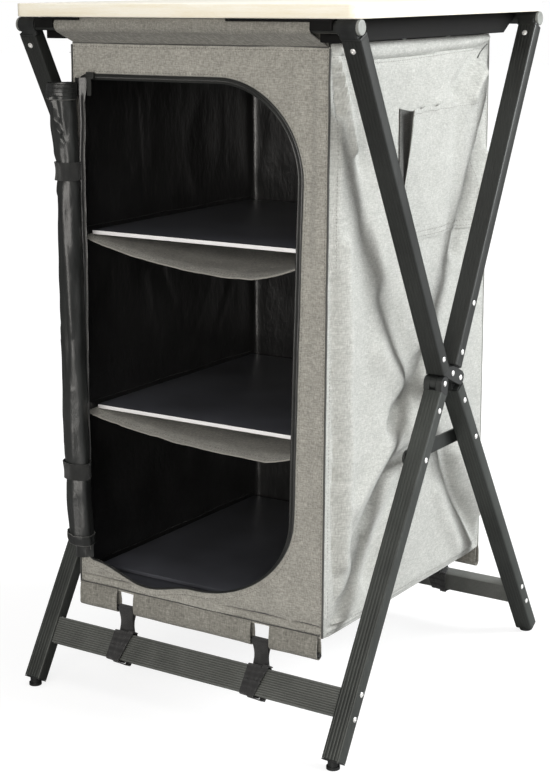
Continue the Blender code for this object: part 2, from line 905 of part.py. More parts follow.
for facing, end in ((-1, "front"), (1, "rear")):
    make_rail(end + "_rail", facing)
    make_sleeve(end + "_sleeve", facing)
    make_crossbar(end + "_crossbar", facing)
    make_rod(end + "_hem_rod", facing)
    for side, label in ((-1, "left"), (1, "right")):
        tube_upper(end + "_upper_tube_" + label, facing, side)
        make_corner(end + "_corner_" + label, facing, side)
        make_hub_arm(end + "_hub_arm_" + label, facing, side, "ears" if facing < 0 else "tongue")
        tube_lower(end + "_leg_" + label, facing, side)
        make_knee(end + "_knee_" + label, facing, side, "ears" if facing < 0 else "tongue")
        make_foot(end + "_foot_" + label, facing, side)

for facing, end, places in ((-1, "front", (front_strap_left, front_strap_right)),
                            (1, "rear", (-rear_strap_reach, rear_strap_reach))):
    for label, strap_x in zip(("left", "right"), places):
        make_strap(end + "_strap_" + label, facing, strap_x)
        make_cuff(end + "_cuff_" + label, facing, strap_x)

for side, label in ((-1, "left"), (1, "right")):
    make_brace("brace_" + label, side)
    make_batten("worktop_batten_" + label, side)
    make_side_panel("side_panel_" + label, side)

make_worktop()
make_front_panel()
make_back_panel()
make_floor_panel()
for name, top in board_tops.items():
    make_board(name, top)
make_sling("upper_sling", upper_shelf_top, upper_sling_drop)
make_sling("lower_sling", lower_shelf_top, lower_sling_drop)
make_pocket()
make_zip_track()
make_zip_slider()
make_rolled_door()
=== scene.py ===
from contextlib import contextmanager
from math import asin, atan2, copysign, cos, exp, hypot, pi, radians, sin, sqrt

import bpy
from mathutils import Matrix, Vector, noise


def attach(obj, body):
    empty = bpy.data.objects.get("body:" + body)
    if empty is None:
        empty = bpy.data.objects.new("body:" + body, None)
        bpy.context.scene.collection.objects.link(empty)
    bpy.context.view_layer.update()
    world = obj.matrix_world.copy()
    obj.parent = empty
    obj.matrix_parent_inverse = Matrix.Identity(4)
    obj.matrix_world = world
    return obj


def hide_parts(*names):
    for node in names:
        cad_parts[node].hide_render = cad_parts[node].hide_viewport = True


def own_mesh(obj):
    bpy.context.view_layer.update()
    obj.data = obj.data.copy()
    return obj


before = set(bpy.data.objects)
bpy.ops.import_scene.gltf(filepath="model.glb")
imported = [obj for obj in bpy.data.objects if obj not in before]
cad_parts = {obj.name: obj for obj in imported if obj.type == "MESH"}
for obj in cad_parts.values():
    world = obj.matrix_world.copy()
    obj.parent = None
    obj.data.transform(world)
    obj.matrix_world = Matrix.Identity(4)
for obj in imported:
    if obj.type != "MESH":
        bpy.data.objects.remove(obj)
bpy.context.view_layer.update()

print("frame loaded with", len(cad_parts), "nodes")


# Modelling by hand: small steps that every piece below uses

cabinet = "upper_front_frame"       # the body that carries the cloth
sideNames = ((-1, "left"), (1, "right"))
endNames = ((-1, "front"), (1, "rear"))


def alone(piece):
    bpy.ops.object.select_all(action="DESELECT")
    piece.select_set(True)
    bpy.context.view_layer.objects.active = piece


def added(name, primitive, **place):
    bpy.ops.object.select_all(action="DESELECT")
    primitive(**place)
    piece = bpy.context.object
    piece.name = piece.data.name = name
    bpy.ops.object.transform_apply(location=True, rotation=True, scale=True)
    return piece


@contextmanager
def editing(piece, kind="FACE"):
    alone(piece)
    bpy.context.tool_settings.mesh_select_mode = [kind == each for each in ("VERT", "EDGE", "FACE")]
    bpy.ops.object.mode_set(mode="EDIT")
    yield
    bpy.ops.object.mode_set(mode="OBJECT")


def pickFaces(piece, test):
    for face in piece.data.polygons:
        face.select = test(face.center, face.normal)


def pickEdges(piece, test):
    mesh = piece.data
    for items in (mesh.vertices, mesh.polygons):
        items.foreach_set("select", [False] * len(items))
    for edge in mesh.edges:
        start, end = (mesh.vertices[index].co for index in edge.vertices)
        edge.select = test((start + end) / 2, (end - start).normalized())


def upright(middle, way):
    return abs(way.z) > 0.9


def bevelled(piece, test, offset, segments=3):
    pickEdges(piece, test)
    with editing(piece, "EDGE"):
        bpy.ops.mesh.bevel(offset=offset, segments=segments)
    return piece


def block(name, place, size):
    return added(name, bpy.ops.mesh.primitive_cube_add, size=1, location=place, scale=size)


def modified(piece, kind, **settings):
    step = piece.modifiers.new(kind.title(), kind)
    for key, value in settings.items():
        setattr(step, key, value)
    alone(piece)
    bpy.ops.object.modifier_apply(modifier=step.name)
    return piece


def outward(piece):
    with editing(piece):
        bpy.ops.mesh.select_all(action="SELECT")
        bpy.ops.mesh.normals_make_consistent(inside=False)
    return piece


def thickened(piece, thickness):
    return outward(modified(piece, "SOLIDIFY", thickness=thickness, offset=0))


def moved(piece, move):
    for vertex in piece.data.vertices:
        vertex.co = move(vertex.co)
    return piece


def joined(name, pieces):
    alone(pieces[0])
    for piece in pieces:
        piece.select_set(True)
    bpy.ops.object.join()
    pieces[0].name = pieces[0].data.name = name
    return pieces[0]


def copied(piece, name, matrix):
    copy = piece.copy()
    copy.data = piece.data.copy()
    bpy.context.scene.collection.objects.link(copy)
    copy.name = copy.data.name = name
    copy.data.transform(matrix)
    if matrix.determinant() < 0:
        copy.data.flip_normals()
    return copy


def repeated(name, seed, matrices):
    copies = [copied(seed, name, matrix) for matrix in matrices]
    bpy.data.objects.remove(seed)
    return joined(name, copies)


def gridSheet(name, columns, rows, place, size):
    # A grid whose corners go where place says; its UV map is in metres of cloth
    piece = added(name, bpy.ops.mesh.primitive_grid_add, size=1,
                  x_subdivisions=columns, y_subdivisions=rows)
    moved(piece, lambda spot: place(spot.x + 0.5, spot.y + 0.5))
    for corner in piece.data.uv_layers[0].data:
        corner.uv = (corner.uv[0] * size[0], corner.uv[1] * size[1])
    return piece


def wrapped(name, columns, rows, place, size):
    # A grid rolled into a tube, with its meeting edges merged
    piece = gridSheet(name, columns, rows, place, size)
    with editing(piece, "VERT"):
        bpy.ops.mesh.select_all(action="SELECT")
        bpy.ops.mesh.remove_doubles(threshold=0.00001)
    return outward(piece)


def plate(name, points, offset):
    # A flat outline, filled and extruded by hand
    piece = added(name, bpy.ops.mesh.primitive_circle_add, vertices=len(points), fill_type="NGON")
    for vertex, point in zip(piece.data.vertices, points):
        vertex.co = point
    with editing(piece):
        bpy.ops.mesh.select_all(action="SELECT")
        bpy.ops.mesh.extrude_region_move(TRANSFORM_OT_translate={"value": offset})
    return outward(piece)


def cordAlong(name, points, radius, closed=False):
    curve = bpy.data.curves.new(name, "CURVE")
    curve.dimensions = "3D"
    line = curve.splines.new("POLY")
    line.points.add(len(points) - 1)
    for spot, point in zip(line.points, points):
        spot.co = (*point, 1)
    line.use_cyclic_u = closed
    curve.bevel_depth, curve.bevel_resolution = radius, 2
    curve.use_fill_caps = not closed
    piece = bpy.data.objects.new(name, curve)
    bpy.context.scene.collection.objects.link(piece)
    alone(piece)
    bpy.ops.object.convert(target="MESH")
    piece = bpy.context.object
    piece.name = piece.data.name = name
    return piece


def dress(piece, finish, body, slot, *stands, angle=40):
    for material in finish if isinstance(finish, tuple) else (finish,):
        piece.data.materials.append(material)
    alone(piece)
    bpy.ops.object.shade_smooth_by_angle(angle=radians(angle))
    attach(piece, body)
    if stands:
        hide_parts(*stands)
    return piece


def innerSide(piece, test):
    # The second finish goes on the faces that look inwards
    for face in piece.data.polygons:
        face.material_index = 1 if test(face.center, face.normal) else 0


def collapses(piece):
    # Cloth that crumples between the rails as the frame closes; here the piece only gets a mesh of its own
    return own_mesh(piece)


def seam(name, points, radius, finish, slot="fabric", crumples=False, closed=False):
    piece = dress(cordAlong(name, points, radius, closed), finish, cabinet, slot)
    return collapses(piece) if crumples else piece


def softNoise(x, y, z, scale):
    return noise.noise(Vector((x * scale, y * scale, z * scale)))


def between(low, high, value):
    share = max(0.0, min(1.0, (value - low) / (high - low)))
    return share * share * (3 - 2 * share)


def distanceTo(across, up, points):
    best = 9.0
    for (x1, z1), (x2, z2) in zip(points, points[1:]):
        dx, dz = x2 - x1, z2 - z1
        share = max(0.0, min(1.0, ((across - x1) * dx + (up - z1) * dz) / (dx * dx + dz * dz)))
        best = min(best, hypot(across - x1 - dx * share, up - z1 - dz * share))
    return best


def inMetres(sizes):
    # Tables of folds are written in millimetres
    return tuple(map(inMetres, sizes)) if isinstance(sizes, tuple) else sizes / 1000


def foldsAt(across, up, folds):
    # folds: (height, width, line of points)
    return sum(height * exp(-(distanceTo(across, up, points) / width) ** 2)
               for height, width, points in folds)


# Finishes

class Wire:
    # A socket that takes part in sums
    def __init__(self, paint, socket):
        self.paint = paint
        self.socket = socket

    def sum(self, operation, first, second):
        return self.paint.sum(operation, first, second)

    def __add__(self, other):
        return self.sum("ADD", self, other)

    def __radd__(self, other):
        return self.sum("ADD", other, self)

    def __sub__(self, other):
        return self.sum("SUBTRACT", self, other)

    def __rsub__(self, other):
        return self.sum("SUBTRACT", other, self)

    def __mul__(self, other):
        return self.sum("MULTIPLY", self, other)

    def __rmul__(self, other):
        return self.sum("MULTIPLY", other, self)

    def __gt__(self, other):
        return self.sum("GREATER_THAN", self, other)

    def sine(self):
        return self.sum("SINE", self, 0.0)


def tone(red, green, blue):
    levels = [value / 255 for value in (red, green, blue)]
    return tuple(v / 12.92 if v <= 0.04045 else ((v + 0.055) / 1.055) ** 2.4 for v in levels) + (1.0,)


class Paint:
    # The nodes of a new material, or of the world
    def __init__(self, name, owner=None, **fixed):
        self.owner = owner or bpy.data.materials.new(name)
        self.owner.use_nodes = True
        self.tree = self.owner.node_tree
        self.gives(**fixed)

    def node(self, kind, settings, sockets, output=0):
        made = self.tree.nodes.new(kind)
        for key, value in settings.items():
            if key == "stops":
                self.setStops(made.color_ramp, value)
            else:
                setattr(made, key, value)
        for key, value in sockets.items():
            self.feed(made.inputs[key], value)
        return Wire(self, made.outputs[output])

    def sum(self, operation, first, second):
        return self.node("ShaderNodeMath", {"operation": operation}, {0: first, 1: second})

    def feed(self, socket, value):
        if isinstance(value, Wire):
            self.tree.links.new(value.socket, socket)
        else:
            socket.default_value = value

    def setStops(self, ramp, stops):
        while len(ramp.elements) < len(stops):
            ramp.elements.new(0.5)
        for element, (place, colour) in zip(ramp.elements, stops):
            element.position, element.color = place, tone(*colour)

    def gives(self, **values):
        for key, value in values.items():
            self.feed(self.tree.nodes["Principled BSDF"].inputs[key.replace("_", " ")], value)
        return self.owner

    def spot(self):
        place = self.node("ShaderNodeTexCoord", {}, {}, output=3)
        return [self.node("ShaderNodeSeparateXYZ", {}, {0: place}, output=axis) for axis in range(3)]

    def cloth(self):
        place = self.node("ShaderNodeUVMap", {"uv_map": "UVMap"}, {})
        return [self.node("ShaderNodeSeparateXYZ", {}, {0: place}, output=axis) for axis in range(2)]

    def noise(self, x, y, z, detail=2.0, rough=0.5):
        place = self.node("ShaderNodeCombineXYZ", {}, {0: x, 1: y, 2: z})
        return self.node("ShaderNodeTexNoise", {}, {"Vector": place, "Scale": 1.0, "Detail": detail,
                                                    "Roughness": rough})

    def ramp(self, value, *stops):
        return self.node("ShaderNodeValToRGB", {"stops": stops}, {0: value})

    def surface(self, colour, roughness, height, distance, strength=1.0):
        relief = self.node("ShaderNodeBump", {}, {"Height": height, "Distance": distance,
                                                   "Strength": strength})
        return self.gives(Base_Color=colour, Roughness=roughness, Normal=relief)


def heatherFinish(name, dark, middle, light):
    # Grey-beige cloth with slubs: each thread has its own tone, and the weave stands up a little
    paint = Paint(name, Roughness=0.92, Sheen_Weight=0.15, Sheen_Roughness=0.6)
    u, v = paint.cloth()
    weft = paint.noise(u * 170, v * 860, 3.7, 4.0, 0.65)
    warp = paint.noise(u * 860, v * 170, 9.1, 4.0, 0.65)
    blotch = paint.noise(u * 38, v * 38, 1.3, 2.0)
    grain = (weft + warp) * 0.5
    level = (grain - 0.5) * 2.0 + (blotch - 0.5) * 0.2 + 0.5
    colour = paint.ramp(level, (0.12, dark), (0.5, middle), (0.88, light))
    weave = (u * 6980).sine() * (v * 6980).sine()
    height = weave * 0.35 + grain * 1.6
    return paint.surface(colour, 0.86 + grain * 0.12, height, 0.00035)


def coatedFinish(name, dark, light, roughness, creases, coat=0.25):
    # Black coated cloth: glossy, finely creased, thinly dusted
    paint = Paint(name, Coat_Weight=coat, Coat_Roughness=0.22)
    u, v = paint.cloth()
    crease = paint.noise(u * 55, v * 22, 0.5, 4.0, 0.55)
    grain = paint.noise(u * 900, v * 900, 2.5, 2.0)
    dust = paint.noise(u * 14, v * 9, 6.2, 3.0)
    colour = paint.ramp(dust, (0.3, dark), (0.75, light))
    return paint.surface(colour, roughness - 0.06 + dust * 0.16, crease * creases + grain * 0.02, 0.004)


def webbingFinish(name, dark, light):
    paint = Paint(name, Sheen_Weight=0.2, Sheen_Roughness=0.5)
    u, v = paint.cloth()
    ribs = (u * 4488).sine()
    picks = (v * 5712).sine()
    weave = ribs * 0.6 + ribs * picks * 0.5
    wear = paint.noise(u * 120, v * 120, 4.4, 3.0)
    colour = paint.ramp(weave * 0.16 + wear, (0.28, dark), (0.78, light))
    return paint.surface(colour, 0.72 + wear * 0.2, weave, 0.0003, 0.8)


def coatedMetalFinish(name, dark, light, metallic, roughness):
    # Dark coated aluminium, drawn lengthwise, with a faint orange peel and rubbed patches
    paint = Paint(name, Metallic=metallic)
    x, y, z = paint.spot()
    drawn = paint.noise(x * 1400, y * 900, z * 14, 2.0)
    peel = paint.noise(x * 700, y * 700, z * 700, 2.0)
    rub = paint.noise(x * 22, y * 22, z * 9, 4.0, 0.6)
    colour = paint.ramp(drawn * 0.45 + rub * 0.55, (0.3, dark), (0.7, light))
    worn = roughness - 0.1 + rub * 0.14 + drawn * 0.06
    return paint.surface(colour, worn, drawn * 0.5 + peel, 0.00012, 0.5)


def mouldedFinish(name, dark, light, roughness, shine=0.5):
    paint = Paint(name, Specular_IOR_Level=shine)
    x, y, z = paint.spot()
    grain = paint.noise(x * 1800, y * 1800, z * 1800, 2.0)
    scuff = paint.noise(x * 60, y * 60, z * 45, 5.0, 0.65)
    colour = paint.ramp(scuff, (0.35, dark), (0.72, light))
    return paint.surface(colour, roughness - 0.08 + scuff * 0.18, grain, 0.0001, 0.5)


def brightMetalFinish(name, dark, light, roughness, metallic):
    paint = Paint(name, Metallic=metallic)
    x, y, z = paint.spot()
    turned = paint.noise(x * 500, y * 2200, z * 2200, 2.0)
    stain = paint.noise(x * 300, y * 300, z * 300, 3.0)
    colour = paint.ramp(stain, (0.3, dark), (0.7, light))
    return paint.surface(colour, roughness + turned * 0.12, turned, 0.00005, 0.6)


def laminateFinish(name, dark, light, rows):
    # Cream laminate with a soft grain along X
    paint = Paint(name, Coat_Weight=0.15, Coat_Roughness=0.25)
    x, y, z = paint.spot()
    drift = paint.noise(x * 2.5, y * 9, z * 9, 3.0)
    grain = paint.noise(x * 9, (y + drift * 0.02) * rows, z * rows, 5.0, 0.6)
    fleck = paint.noise(x * 240, y * 1500, z * 1500, 2.0)
    colour = paint.ramp(grain * 0.75 + fleck * 0.25, (0.32, dark), (0.62, light))
    return paint.surface(colour, 0.36 + grain * 0.16, grain * 0.4 + fleck * 0.6, 0.00008, 0.5)


def boardFinish(name, dark, light):
    # Coated board sleeve: satin black with a fine embossed grain and a few scratches
    paint = Paint(name, Coat_Weight=0.12, Coat_Roughness=0.35)
    x, y, z = paint.spot()
    emboss = paint.noise(x * 1100, y * 1100, z * 1100, 3.0)
    cloud = paint.noise(x * 11, y * 11, z * 11, 3.0)
    scratch = paint.noise(x * 30, y * 900, z * 30, 2.0) > 0.74
    colour = paint.ramp(cloud + scratch * 0.1, (0.3, dark), (0.8, light))
    return paint.surface(colour, 0.34 + cloud * 0.16 - scratch * 0.05, emboss, 0.00012, 0.5)


def edgeFinish(name, dark, light):
    # The pale cut edge of the shelf boards
    paint = Paint(name)
    x, y, z = paint.spot()
    layers = paint.noise(x * 60, y * 60, z * 2400, 2.0)
    colour = paint.ramp(layers, (0.3, dark), (0.7, light))
    return paint.surface(colour, 0.5 + layers * 0.12, layers, 0.0001, 0.5)


heather = heatherFinish("heather_cloth", (113, 112, 105), (162, 160, 152), (206, 204, 196))
# A darker copy of the heather cloth for the sleeves, hems and the floor cloth's underside: the darkness is
# painted shade.
heatherDimShade = heatherFinish("heather_cloth_dim_painted_shade", (91, 90, 83), (136, 134, 126), (177, 175, 167))
# A lighter, cooler copy of the heather cloth for the sides and pocket: the cooler tone is the cloth's own,
# the extra lightness is painted light from the lamp on the sides.
heatherSideLit = heatherFinish("heather_cloth_side_painted_light", (139, 140, 136), (171, 172, 167), (203, 204, 199))
# A dark copy of the heather cloth for the cords, welts and folds that sit where only shade falls: painted
# shade.
heatherPaintedShade = heatherFinish("heather_cloth_painted_shade", (50, 50, 47), (70, 70, 67), (94, 94, 90))
lining = coatedFinish("black_lining", (22, 22, 22), (38, 38, 38), 0.3, 0.55)
doorCloth = coatedFinish("door_cloth", (32, 33, 33), (54, 56, 55), 0.38, 0.6, 0.18)
trimCloth = coatedFinish("trim_cloth", (23, 24, 23), (39, 40, 38), 0.42, 0.25)
strapCloth = webbingFinish("strap_webbing", (24, 24, 25), (50, 50, 50))
tieCloth = webbingFinish("tie_webbing", (27, 28, 28), (49, 50, 49))
lightThread = webbingFinish("light_thread", (92, 92, 90), (138, 138, 134))
threadCloth = webbingFinish("grey_thread", (92, 90, 85), (134, 132, 125))
frameMetal = coatedMetalFinish("coated_aluminium", (38, 39, 38), (56, 58, 56), 0.4, 0.42)
# A lighter copy of the coated aluminium for the lower legs: painted light.
legMetalLit = coatedMetalFinish("leg_aluminium_painted_light", (48, 50, 48), (70, 73, 70), 0.4, 0.42)
crossMetal = coatedMetalFinish("grooved_aluminium", (94, 96, 93), (127, 129, 125), 0.4, 0.4)
rodMetal = coatedMetalFinish("rod_metal", (42, 43, 43), (66, 67, 66), 0.5, 0.45)
blackPlastic = mouldedFinish("black_plastic", (24, 25, 25), (42, 44, 43), 0.38)
battenPlastic = mouldedFinish("batten_plastic", (8, 8, 8), (17, 17, 16), 0.66, 0.16)
palePlastic = mouldedFinish("pale_plastic", (112, 114, 110), (142, 144, 140), 0.42)
zipPlastic = mouldedFinish("zip_plastic", (34, 35, 34), (58, 59, 57), 0.38)
rivetMetal = brightMetalFinish("rivet_metal", (222, 222, 220), (252, 252, 250), 0.34, 0.55)
topLaminate = laminateFinish("top_laminate", (240, 234, 217), (252, 248, 238), 70)
topEdge = laminateFinish("top_edge", (246, 237, 212), (255, 251, 237), 160)
boardCoat = boardFinish("board_coat", (64, 65, 70), (88, 90, 97))
boardEdge = edgeFinish("board_edge", (232, 232, 233), (254, 254, 254))
print("finishes made")


# Places that several pieces share, in metres

body = {"half": 0.184, "top": 0.8235, "sideTop": 0.827, "hem": 0.135, "back": 0.193, "front": 0.196,
        "lean": 0.025, "cloth": 0.0015}
line = {"hub": 0.424, "railSpread": 0.224, "rail": 0.846, "upperOffset": 0.012, "footSpread": 0.26,
        "foot": 0.009, "lowerOffset": 0.0075, "kneeSpread": 0.0205, "knee": 0.4147, "middle": 0.2288,
        "outer": 0.2413}


def frontFace(z):
    return -body["front"] - (body["top"] - z) * body["lean"]


def tubeLine(facing, spread, height, offset):
    # Start, direction and length of a tube's middle line in (y, z)
    rise = height - line["hub"]
    reach = hypot(spread, rise)
    length = sqrt(reach ** 2 - offset ** 2)
    heading = atan2(rise, spread) + copysign(asin(offset / reach), rise)
    dy, dz = cos(heading), sin(heading)
    return (Vector((facing * (spread - dy * length), height - dz * length)),
            Vector((facing * dy, dz)), length)


def upperLine(facing):
    return tubeLine(facing, line["railSpread"], line["rail"], line["upperOffset"])


def lowerLine(facing):
    return tubeLine(facing, line["footSpread"], line["foot"], line["lowerOffset"])


def onLine(found, z):
    start, direction, length = found
    return start.x + direction.x * (z - start.y) / direction.y


def barMatrix(start, direction, x):
    # Turns a bar that stands along Z to the tube's own line
    lengthAxis = Vector((0, direction.x, direction.y))
    widthAxis = Vector((1, 0, 0))
    turned = Matrix((widthAxis, lengthAxis.cross(widthAxis), lengthAxis)).transposed().to_4x4()
    return Matrix.Translation((x, start.x, start.y)) @ turned


# Tubes and crossbars, with the fine grooves that run along them

def groovedBar(name, size, corner, grooves, face):
    # Stands along Z; V grooves run along it on both faces that look along the axis named by face
    bar = bevelled(block(name, (0, 0, size[2] / 2), size), upright, corner, 4)
    across = 1 - face
    for centre in grooves["places"]:
        for offset in (-grooves["half"], 0, grooves["half"]):
            cut = [0, 0, 0]
            cut[across] = centre + offset
            with editing(bar):
                bpy.ops.mesh.select_all(action="SELECT")
                bpy.ops.mesh.bisect(plane_co=cut, plane_no=[int(axis == across) for axis in range(3)])
    for side in (-1, 1):
        level = side * size[face] / 2
        pickEdges(bar, lambda middle, way: upright(middle, way) and abs(middle[face] - level) < 0.00001
                  and any(abs(middle[across] - centre) < 0.00001 for centre in grooves["places"]))
        push = [0, 0, 0]
        push[face] = -side * grooves["depth"]
        with editing(bar, "EDGE"):
            bpy.ops.transform.translate(value=push)
    return bar


tube = {"width": 0.025, "depth": 0.018, "corner": 0.0026, "upperStart": 0.0125, "upperEnd": 0.0123,
        "lowerStart": 0.0115,
        "groove": {"half": 0.0007, "depth": 0.0003, "places": (-0.0086, -0.0043, 0, 0.0043, 0.0086)}}


def tubePair(name, start, direction, length, finish, body, stands):
    seed = groovedBar("tube", (tube["width"], tube["depth"], length), tube["corner"], tube["groove"], 1)
    for side, label in sideNames:
        piece = copied(seed, f"{name}_{label}", barMatrix(start, direction, side * line["middle"]))
        dress(piece, finish, body, "anodised", f"{stands}_{label}", angle=30)
    bpy.data.objects.remove(seed)


for facing, end in endNames:
    start, direction, length = upperLine(facing)
    low, high = tube["upperStart"], length - tube["upperEnd"]
    tubePair(f"{end}_upper_bar", start + direction * low, direction, high - low, frameMetal,
             f"upper_{end}_frame", f"{end}_upper_tube")
    start, direction, length = lowerLine(facing)
    knee = Vector((facing * line["kneeSpread"], line["knee"]))
    low = (knee - start).dot(direction) + tube["lowerStart"]
    # The legs take the lighter copy of the aluminium: painted light.
    tubePair(f"{end}_lower_bar", start + direction * low, direction, length - low, legMetalLit,
             f"lower_{end}_frame", f"{end}_leg")

crossbar = {"height": 0.035, "depth": 0.014, "corner": 0.0018, "half": 0.216, "rise": 0.066,
            "groove": {"half": 0.0008, "depth": 0.0012,
                       "places": [-0.0145 + 0.0029 * step for step in range(11)]}}


def crossbarPlace(facing):
    start, direction, length = lowerLine(facing)
    return start + direction * ((crossbar["rise"] - start.y) / direction.y), -direction


for facing, end in endNames:
    middle, up = crossbarPlace(facing)
    bar = groovedBar(f"{end}_cross_rail", (crossbar["depth"], crossbar["height"], 2 * crossbar["half"]),
                     crossbar["corner"], crossbar["groove"], 0)
    upAxis = Vector((0, up.x, up.y))
    matrix = Matrix((upAxis.cross(Vector((1, 0, 0))), upAxis, Vector((1, 0, 0)))).transposed().to_4x4()
    bar.data.transform(Matrix.Translation((-crossbar["half"], middle.x, middle.y)) @ matrix)
    dress(outward(bar), crossMetal, f"lower_{end}_frame", "anodised", f"{end}_crossbar", angle=30)
print("tubes and crossbars done")


# Rivets, one shape copied to every place

rivet = {"radius": 0.0034, "thickness": 0.0005, "lift": 0.00005, "innerBelow": 0.2,
         "rings": ((0.0009, 0.000525), (0.0009, 0.000175), (0.0004, -0.0011))}


def rivetSeed():
    head = added("rivet", bpy.ops.mesh.primitive_cylinder_add, vertices=20, radius=rivet["radius"],
                 depth=rivet["thickness"], location=(0, 0, rivet["thickness"] / 2))
    for inset, rise in rivet["rings"]:
        pickFaces(head, lambda spot, way: way.z > 0.99 and spot.xy.length < 0.0001)
        with editing(head):
            bpy.ops.mesh.inset(thickness=inset)
            bpy.ops.transform.translate(value=(0, 0, rise))
    return head


def rivets(name, matrices, body):
    return dress(repeated(name, rivetSeed(), matrices), rivetMetal, body, "anodised", angle=30)


def rivetPlaces(heights, found):
    return [(onLine(found, z), z) for z in heights]


def rivetsOn(name, body, places):
    for side, label in sideNames:
        reach = line["outer"] + rivet["lift"]
        heads = [Matrix.Translation((side * reach, y, z)) @ Matrix.Rotation(side * pi / 2, 4, "Y")
                 for y, z in places]
        heads += [Matrix.Translation((side * (2 * line["middle"] - reach), y, z))
                  @ Matrix.Rotation(-side * pi / 2, 4, "Y") for y, z in places if z < rivet["innerBelow"]]
        rivets(f"{name}_{label}", heads, body)


rivetsOn("front_upper_rivets", cabinet,
         rivetPlaces((0.446,), upperLine(-1)) + [(0, line["hub"]), (line["kneeSpread"], line["knee"])])
rivetsOn("rear_upper_rivets", "upper_rear_frame",
         rivetPlaces((0.446, 0.5034), upperLine(1)) + [(-line["kneeSpread"], line["knee"])])
for facing, end in endNames:
    rivetsOn(f"{end}_lower_rivets", f"lower_{end}_frame",
             rivetPlaces((0.383, 0.079, 0.0535) + ((0.3285,) if facing > 0 else ()), lowerLine(facing)))
rivetsOn("brace_rivets", "lower_front_frame", rivetPlaces((0.3285,), lowerLine(-1)))

topRivet = {"back": 0.024, "proud": 0.009}
for facing, end in endNames:
    start, direction, length = upperLine(facing)
    spot = start + direction * (length - topRivet["back"])
    forward = Vector((0, -direction.y, direction.x))
    for side, label in sideNames:
        centre = Vector((side * line["middle"], spot.x, spot.y))
        heads = [Matrix.Translation(centre + way * topRivet["proud"])
                 @ way.to_track_quat("Z", "Y").to_matrix().to_4x4() for way in (forward, -forward)]
        rivets(f"{end}_top_rivets_{label}", heads, f"upper_{end}_frame")

# Pale end caps on the rails, domed

railCap = {"radius": 0.0087, "inner": 0.2384, "outer": 0.2418}


def endCap(name, side, y, z, body):
    width = railCap["outer"] - railCap["inner"]
    cap = added(name, bpy.ops.mesh.primitive_cylinder_add, vertices=40, radius=railCap["radius"],
                depth=width)
    bevelled(cap, lambda middle, way: middle.z > width / 2 - 0.0001 and middle.xy.length > 0.006, 0.0013, 4)
    pickFaces(cap, lambda spot, way: way.z > 0.99)
    with editing(cap):
        bpy.ops.mesh.inset(thickness=0.0022)
        bpy.ops.transform.translate(value=(0, 0, -0.0003))
    cap.data.transform(Matrix.Translation((side * (railCap["inner"] + width / 2), y, z))
                       @ Matrix.Rotation(side * pi / 2, 4, "Y"))
    dress(outward(cap), palePlastic, body, "moulded")


for facing, end in endNames:
    for side, label in sideNames:
        endCap(f"{end}_rail_cap_{label}", side, facing * line["railSpread"], line["rail"],
               f"upper_{end}_frame")

# CAD nodes that stay: soft edges and their own finish


def keepNode(name, finish, bevel=0.0004, angle=38):
    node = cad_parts[name]
    node.data.materials.clear()
    node.data.materials.append(finish)
    for polygon in node.data.polygons:
        polygon.material_index = 0
    weld = node.modifiers.new("Weld", "WELD")
    weld.merge_threshold = 0.00001
    if bevel:
        soften = node.modifiers.new("Bevel", "BEVEL")
        soften.width, soften.segments = bevel, 2
        soften.limit_method, soften.angle_limit = "ANGLE", radians(angle)
        soften.harden_normals = False


for end in ("front", "rear"):
    keepNode(f"{end}_rail", frameMetal, 0)
    for label in ("left", "right"):
        for part in ("corner", "hub_arm", "knee", "foot"):
            keepNode(f"{end}_{part}_{label}", blackPlastic)
for label in ("left", "right"):
    keepNode(f"brace_{label}", frameMetal, 0.0005)
    keepNode(f"worktop_batten_{label}", battenPlastic, 0.0008)
keepNode("front_hem_rod", rodMetal, 0.0005)
keepNode("zip_slider", zipPlastic, 0.0005)
print("rivets, caps and kept nodes done")


# Worktop: a laminated board with a rounded rim, and two dark lips under its front edge

worktop = {"width": 0.483, "depth": 0.47, "low": 0.855, "high": 0.871, "corner": 0.012, "rim": 0.0016}
top = block("worktop_board", (0, 0, (worktop["low"] + worktop["high"]) / 2),
            (worktop["width"], worktop["depth"], worktop["high"] - worktop["low"]))
bevelled(top, upright, worktop["corner"], 8)
bevelled(top, lambda middle, way: abs(way.z) < 0.1, worktop["rim"])
innerSide(top, lambda spot, way: abs(way.z) < 0.7)
dress(top, (topLaminate, topEdge), "worktop_set", "laminate", "worktop")

lip = {"y": -0.2342, "depth": 0.0028, "low": 0.8518, "high": 0.8549,
       "spans": ((-0.2, -0.141), (0.071, 0.208))}
for label, (low, high) in zip(("left", "right"), lip["spans"]):
    strip = block(f"worktop_lip_{label}", ((low + high) / 2, lip["y"], (lip["low"] + lip["high"]) / 2),
                  (high - low, lip["depth"], lip["high"] - lip["low"]))
    bevelled(strip, lambda middle, way: True, 0.0006)
    dress(strip, battenPlastic, "worktop_set", "moulded")

screw = {"places": (-0.16, -0.05, 0.06, 0.16), "across": 0.1955, "under": 0.8291}
for side, label in sideNames:
    matrices = [Matrix.Translation((side * screw["across"], y, screw["under"]))
                @ Matrix.Rotation(pi, 4, "X") for y in screw["places"]]
    rivets(f"batten_screws_{label}", matrices, "worktop_set")
print("worktop done")


# Front cloth with its opening, the zip round it and the seams

opening = {"left": -0.172, "right": 0.145, "top": 0.781, "bottom": 0.161, "radius": 0.112, "small": 0.012,
           "taper": 0.008, "stretch": 1.24, "sag": 0.016, "leftRise": 0.01, "arcSteps": 18, "sagSteps": 40}


